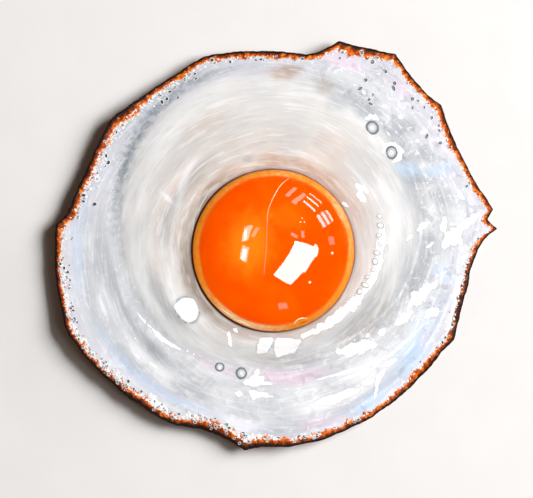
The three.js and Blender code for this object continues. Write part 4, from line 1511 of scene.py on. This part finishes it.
def make_beads():
    """Makes the few pale beads of air caught under the yolk's skin, partly standing for small highlights, in
    the material of its fold.
    """
    bearing, distance, radius = np.array(BEADS).T
    x, y = to_xy(bearing, distance)
    points, faces = scattered(spun(BEAD, BEAD_SIDES), yolk_surface(x, y), radius, np.zeros(len(x)))
    layer = {"pale": np.ones(len(points))}
    add_piece("yolk_beads", points, faces, bpy.data.materials["yolk_membrane"], layer)


# ---------- Floor, light and camera ----------

IMAGE_WIDTH = 533
IMAGE_HEIGHT = 498
YOLK_PIXELS = 161  # the yolk's diameter in the view
YOLK_PIXEL = (273.5, 250.5)  # where its centre stands in the view
CAMERA_HEIGHT = 700
SENSOR = 36
EDGE_LEVEL = 1.5  # height of the outline that the view is fitted to
FLOOR_SIZE = 6000
FLOOR_DROP = 0.05
# Lights: name, bearing, degrees from straight up, distance, width and height, setting, times it, and turn.
EGG_LIGHTS = [
    ("window_overhead", -36.2, 14, 517, (198, 135), "overhead", 1, 2),
    ("window_wing", 0.5, 19.7, 525, (45, 195), "overhead", 1, -12),
    ("window_sill", -12, 23.9, 527, (166, 38), "overhead", 1, -30),
    ("far_pane_0", 51, 47, 500, (112, 30), "panes", 1.8, 0),
    ("far_pane_1", 51, 58, 500, (112, 30), "panes", 1.8, 0),
    ("far_pane_2", 51, 70, 500, (112, 30), "panes", 1.8, 0),
    ("near_pane_0", 32, 46, 500, (84, 44), "panes", 1.4, 0),
    ("near_pane_1", 32, 55, 500, (84, 44), "panes", 1.4, 0),
    ("near_pane_2", 32, 66, 500, (84, 44), "panes", 1.4, 0),
    ("near_pane_glass", 32, 56, 499, (90, 190), "panel", 0.6, 0),
    ("curtain_far", 73, 56, 500, (26, 200), "panel", 1.6, -10),
    ("curtain_near", 64, 50, 500, (30, 220), "panel", 1.6, -10),
    ("panel_right", 9, 50, 500, (60, 90), "panel", 1, 0),
    ("panel_left_high", 147, 17.5, 560, (80, 48), "panel", 2.5, 30),
    ("panel_left_low", 185, 15, 560, (80, 52), "panel", 2.5, -25),
    ("glint_left_high", 150, 17.6, 559, (56, 15), "panel", 4, 38),
    ("glint_left_low", 188, 15.4, 559, (60, 24), "panel", 5, -32),
    ("panel_left_near", 136, 13, 560, (46, 24), "panel", 1.2, 20),
    ("panel_above", 40, 13, 560, (46, 22), "panel", 1.4, 20),
    ("panel_above_far", 30, 19, 560, (56, 30), "panel", 1.4, -30),
    ("panel_low", -80, 46, 500, (60, 90), "panel", 1, 0),
    ("soft_box_left", 200, 52, 700, (500, 300), "fill", 1.5, 0),
    ("soft_box_top", 100, 30, 800, (300, 300), "fill", 0.64, 0),
]
FLOOR_LIGHTS = [
    ("soft_box_low", 18, 68, 1800, (1210, 670), "low", 1, 0),
    ("soft_box_front", -18, 55, 900, (500, 400), "low", 0.05, 0),
]
ONLY_MIRRORED = ("window_sill",)
NOT_MIRRORED = ("soft_box_left", "soft_box_top")


def add_light(name, bearing, polar, distance, size, radiance, turn):
    """A rectangular light that faces the egg: width along the ring and height, at polar from straight up."""
    light = bpy.data.lights.new(name, "AREA")
    light.shape = "RECTANGLE"
    light.size, light.size_y = size[0] * MM, size[1] * MM
    light.energy = radiance * math.pi * light.size * light.size_y
    lamp = bpy.data.objects.new(name, light)
    x, y = to_xy(bearing, math.sin(math.radians(polar)))
    back = Vector((x, y, math.cos(math.radians(polar))))
    lamp.location = Vector((*CENTRE[:2] * MM, 0)) + back * distance * MM
    lamp.rotation_mode = "QUATERNION"
    lamp.rotation_quaternion = Quaternion(back, math.radians(turn)) @ back.to_track_quat("Z", "Y")
    lamp.visible_camera = False
    lamp.visible_diffuse = name not in ONLY_MIRRORED
    lamp.visible_glossy = name not in NOT_MIRRORED
    bpy.context.scene.collection.objects.link(lamp)
    return lamp


def make_stage(settings):
    """Makes the floor, the lights, the surroundings and the camera."""
    half = FLOOR_SIZE / 2 * MM
    mesh = bpy.data.meshes.new("floor")
    corners = [(-half, -half), (half, -half), (half, half), (-half, half)]
    mesh.from_pydata([(x, y, -FLOOR_DROP * MM) for x, y in corners], [], [(0, 1, 2, 3)])
    mesh.materials.append(floor_material(settings))
    floor = bpy.data.objects.new("floor", mesh)
    bpy.context.scene.collection.objects.link(floor)
    make_lights(settings, floor)
    make_camera()


def make_lights(settings, floor):
    """Windows and soft boxes for the egg, a low soft box for the floor, and a pale surround."""
    floor_alone = bpy.data.collections.new("floor_alone")
    floor_alone.objects.link(floor)
    all_but_floor = bpy.data.collections.new("all_but_floor")
    all_but_floor.objects.link(floor)
    all_but_floor.collection_objects[0].light_linking.link_state = "EXCLUDE"
    for table, receivers in ((EGG_LIGHTS, all_but_floor), (FLOOR_LIGHTS, floor_alone)):
        for name, bearing, polar, distance, size, setting, times, turn in table:
            radiance = times * getattr(settings, setting)
            lamp = add_light(name, bearing, polar, distance, size, radiance, turn)
            lamp.light_linking.receiver_collection = receivers
    world = bpy.data.worlds.new("studio")
    world.use_nodes = True
    background = world.node_tree.nodes["Background"].inputs
    background["Color"].default_value = (*settings.surround, 1)
    background["Strength"].default_value = settings.surround_strength
    world.cycles_visibility.glossy = False
    bpy.context.scene.world = world


def make_camera():
    """A long lens straight over the egg."""
    pixel = 2 * YOLK_RADIUS / YOLK_PIXELS
    camera = bpy.data.cameras.new("camera")
    camera.sensor_width = SENSOR
    camera.lens = SENSOR * CAMERA_HEIGHT / (IMAGE_WIDTH * pixel)
    viewer = bpy.data.objects.new("camera", camera)
    right = (IMAGE_WIDTH / 2 - YOLK_PIXEL[0]) * pixel
    up = (YOLK_PIXEL[1] - IMAGE_HEIGHT / 2) * pixel
    viewer.location = Vector((CENTRE[0] + right, CENTRE[1] + up, CAMERA_HEIGHT + EDGE_LEVEL)) * MM
    bpy.context.scene.collection.objects.link(viewer)
    bpy.context.scene.camera = viewer
    bpy.context.scene.view_settings.view_transform = "Standard"
    bpy.context.scene.view_settings.look = "None"


# ---------- Settings, operators and panel ----------


class FRIEDEGG_PG_white(bpy.types.PropertyGroup):
    """Sizes and colours of the white."""

    ripple_depth: length("Ripple depth", "Depth of the fine rings in the set white", 0.03)
    froth_height: length("Froth height", "Height of the froth's bumps along the edge", 0.07)
    crag_height: length("Crag height", "Height of the crust's crags", 0.11)
    crust_width: length("Crust width", "Usual width of the browned edge", 1.2)
    char_width: length("Char width", "Width of the burnt line at the edge", 0.3)
    pit_radius: length("Bubble radius", "Mean radius of the burst bubbles", 0.36)
    dabs: count("Froth dabs", "Number of dabs of froth along the edge", 2200)
    white: colour("White", "Thick set white", 213, 211, 209)
    thin: colour("Thin white", "White further out than the thick part", 208, 210, 214)
    lilac: colour("Lilac", "Ground of the froth along the edge", 204, 204, 216)
    # Pearl: the palest white, also laid as painted light on the slopes that face away from the lamps.
    pearl: colour("Pearl", "Where the white is thickest and lightest", 231, 232, 233)
    # Grey: thin white with dark showing through, and also painted shade in the crease and along the folds.
    grey: colour("Grey", "Where the white is thin and dark shows through", 150, 156, 163)
    beige: colour("Beige", "Warm tint round the yolk", 190, 164, 146)
    # Umber: thin white over a brown underside, and also painted shade cast by the yolk next to it.
    umber: colour("Umber", "Thin white over a brown underside", 152, 138, 124)
    blue: colour("Blue", "Cool sheen of the thin white", 184, 208, 234)
    rose: colour("Rose", "Pink sheen near the edge", 222, 194, 214)
    froth: colour("Froth", "Dry froth", 240, 240, 240)
    # Painted highlight: the colour of the highlights painted on the wet white.
    painted_highlight: colour("Gleam", "Wet patches of thick set white", 251, 251, 251)
    # Pit: painted shade inside a burst bubble.
    pit: colour("Pit", "Inside of a burst bubble", 62, 66, 70)
    # Smoke: the darkest dabs of painted shade in the crease, and the dashes round the painted highlights.
    smoke: colour("Smoke", "Darkest dabs in the crease", 124, 131, 140)
    # Contact shade: painted shade on the lip of the white against the yolk.
    seam: colour("Seam", "Lip of the white against the yolk", 72, 22, 6)
    char: colour("Char", "Burnt line of the edge", 30, 13, 8)
    dark_brown: colour("Dark brown", "Crust next to the burnt line", 112, 42, 6)
    rust: colour("Rust", "Middle of the crust", 212, 90, 10)
    gold: colour("Gold", "Inner side of the crust", 228, 136, 36)
    blush: colour("Blush", "Where the crust fades into the froth", 224, 184, 164)


class FRIEDEGG_PG_yolk(bpy.types.PropertyGroup):
    """Sizes and colours of the yolk."""

    ring_width: length("Ring width", "Width of the paler ring inside the yolk's edge", 1.9)
    orange: colour("Orange", "Body of the yolk", 254, 91, 0)
    deep: colour("Deep orange", "Thicker parts of the yolk", 252, 80, 0)
    amber: colour("Amber", "Where light gathers in the yolk", 254, 134, 20)
    # Rim: the paler ring inside the yolk's edge, partly painted light.
    rim: colour("Rim", "Ring inside the yolk's edge", 255, 154, 6)
    # Rim highlight: painted highlights on the ring, also the pale colour of the skin's folds and beads.
    rim_highlight: colour("Rim light", "Palest parts of the ring", 255, 226, 172)
    # Contact shade: painted shade along the line where the yolk meets the white.
    seam: colour("Seam", "Line where the yolk meets the white", 92, 18, 2)


class FRIEDEGG_PG_stage(bpy.types.PropertyGroup):
    """Colours and strengths of the floor and the lights."""

    floor: colour("Floor", "Pale matt floor", 240, 239, 238)
    surround: colour("Surround", "Colour of the light from all round", 255, 216, 186)
    surround_strength: strength("Surround strength", "Radiance of the light from all round", 0.07)
    overhead: strength("Overhead", "Radiance of the window overhead", 18)
    panes: strength("Panes", "Radiance of the lower window's panes", 8)
    panel: strength("Panels", "Radiance of the dim panels", 3)
    fill: strength("Fill", "Radiance of the soft boxes over the egg", 1.6)
    low: strength("Low", "Radiance of the low soft box that lights the floor", 33.5)


class FRIEDEGG_OT_white(bpy.types.Operator):
    """Makes the set white with its folds, froth and crust"""

    bl_idname = "fried_egg.white"
    bl_label = "Set White"

    def execute(self, context):
        make_white(context.scene.fried_egg_white)
        return {"FINISHED"}


class FRIEDEGG_OT_froth(bpy.types.Operator):
    """Makes the dabs of froth and the burst bubbles along the edge"""

    bl_idname = "fried_egg.froth"
    bl_label = "Froth and Burst Bubbles"

    def execute(self, context):
        make_froth(context.scene.fried_egg_white)
        return {"FINISHED"}


class FRIEDEGG_OT_blisters(bpy.types.Operator):
    """Makes the ringed blisters and the run of small ones"""

    bl_idname = "fried_egg.blisters"
    bl_label = "Blisters"

    def execute(self, context):
        make_blisters(context.scene.fried_egg_white)
        return {"FINISHED"}


class FRIEDEGG_OT_yolk(bpy.types.Operator):
    """Makes the yolk with the fold in its skin and its beads of air"""

    bl_idname = "fried_egg.yolk"
    bl_label = "Yolk"

    def execute(self, context):
        make_yolk(context.scene.fried_egg_yolk)
        return {"FINISHED"}


class FRIEDEGG_OT_stage(bpy.types.Operator):
    """Makes the floor, the lights and the camera"""

    bl_idname = "fried_egg.stage"
    bl_label = "Floor, Light and Camera"

    def execute(self, context):
        make_stage(context.scene.fried_egg_stage)
        return {"FINISHED"}


OPERATORS = (FRIEDEGG_OT_white, FRIEDEGG_OT_froth, FRIEDEGG_OT_blisters, FRIEDEGG_OT_yolk, FRIEDEGG_OT_stage)
GROUPS = {
    "fried_egg_white": FRIEDEGG_PG_white,
    "fried_egg_yolk": FRIEDEGG_PG_yolk,
    "fried_egg_stage": FRIEDEGG_PG_stage,
}


class FRIEDEGG_PT_panel(bpy.types.Panel):
    """Lists what makes the egg, and its sizes and colours"""

    bl_idname = "FRIEDEGG_PT_panel"
    bl_label = "Fried Egg"
    bl_space_type = "VIEW_3D"
    bl_region_type = "UI"
    bl_category = "Fried Egg"

    def draw(self, context):
        for operator in OPERATORS:
            self.layout.operator(operator.bl_idname)
        for name, group in GROUPS.items():
            box = self.layout.box()
            for setting in group.__annotations__:
                box.prop(getattr(context.scene, name), setting)


def register():
    for kind in (*GROUPS.values(), *OPERATORS, FRIEDEGG_PT_panel):
        bpy.utils.register_class(kind)
    for name, group in GROUPS.items():
        setattr(bpy.types.Scene, name, bpy.props.PointerProperty(type=group))


def unregister():
    for name in GROUPS:
        delattr(bpy.types.Scene, name)
    for kind in (FRIEDEGG_PT_panel, *reversed(OPERATORS), *GROUPS.values()):
        bpy.utils.unregister_class(kind)


def main():
    """Makes the whole egg and its stage."""
    register()
    bpy.ops.fried_egg.white()
    bpy.ops.fried_egg.froth()
    bpy.ops.fried_egg.blisters()
    bpy.ops.fried_egg.yolk()
    bpy.ops.fried_egg.stage()


if __name__ == "__main__":
    main()
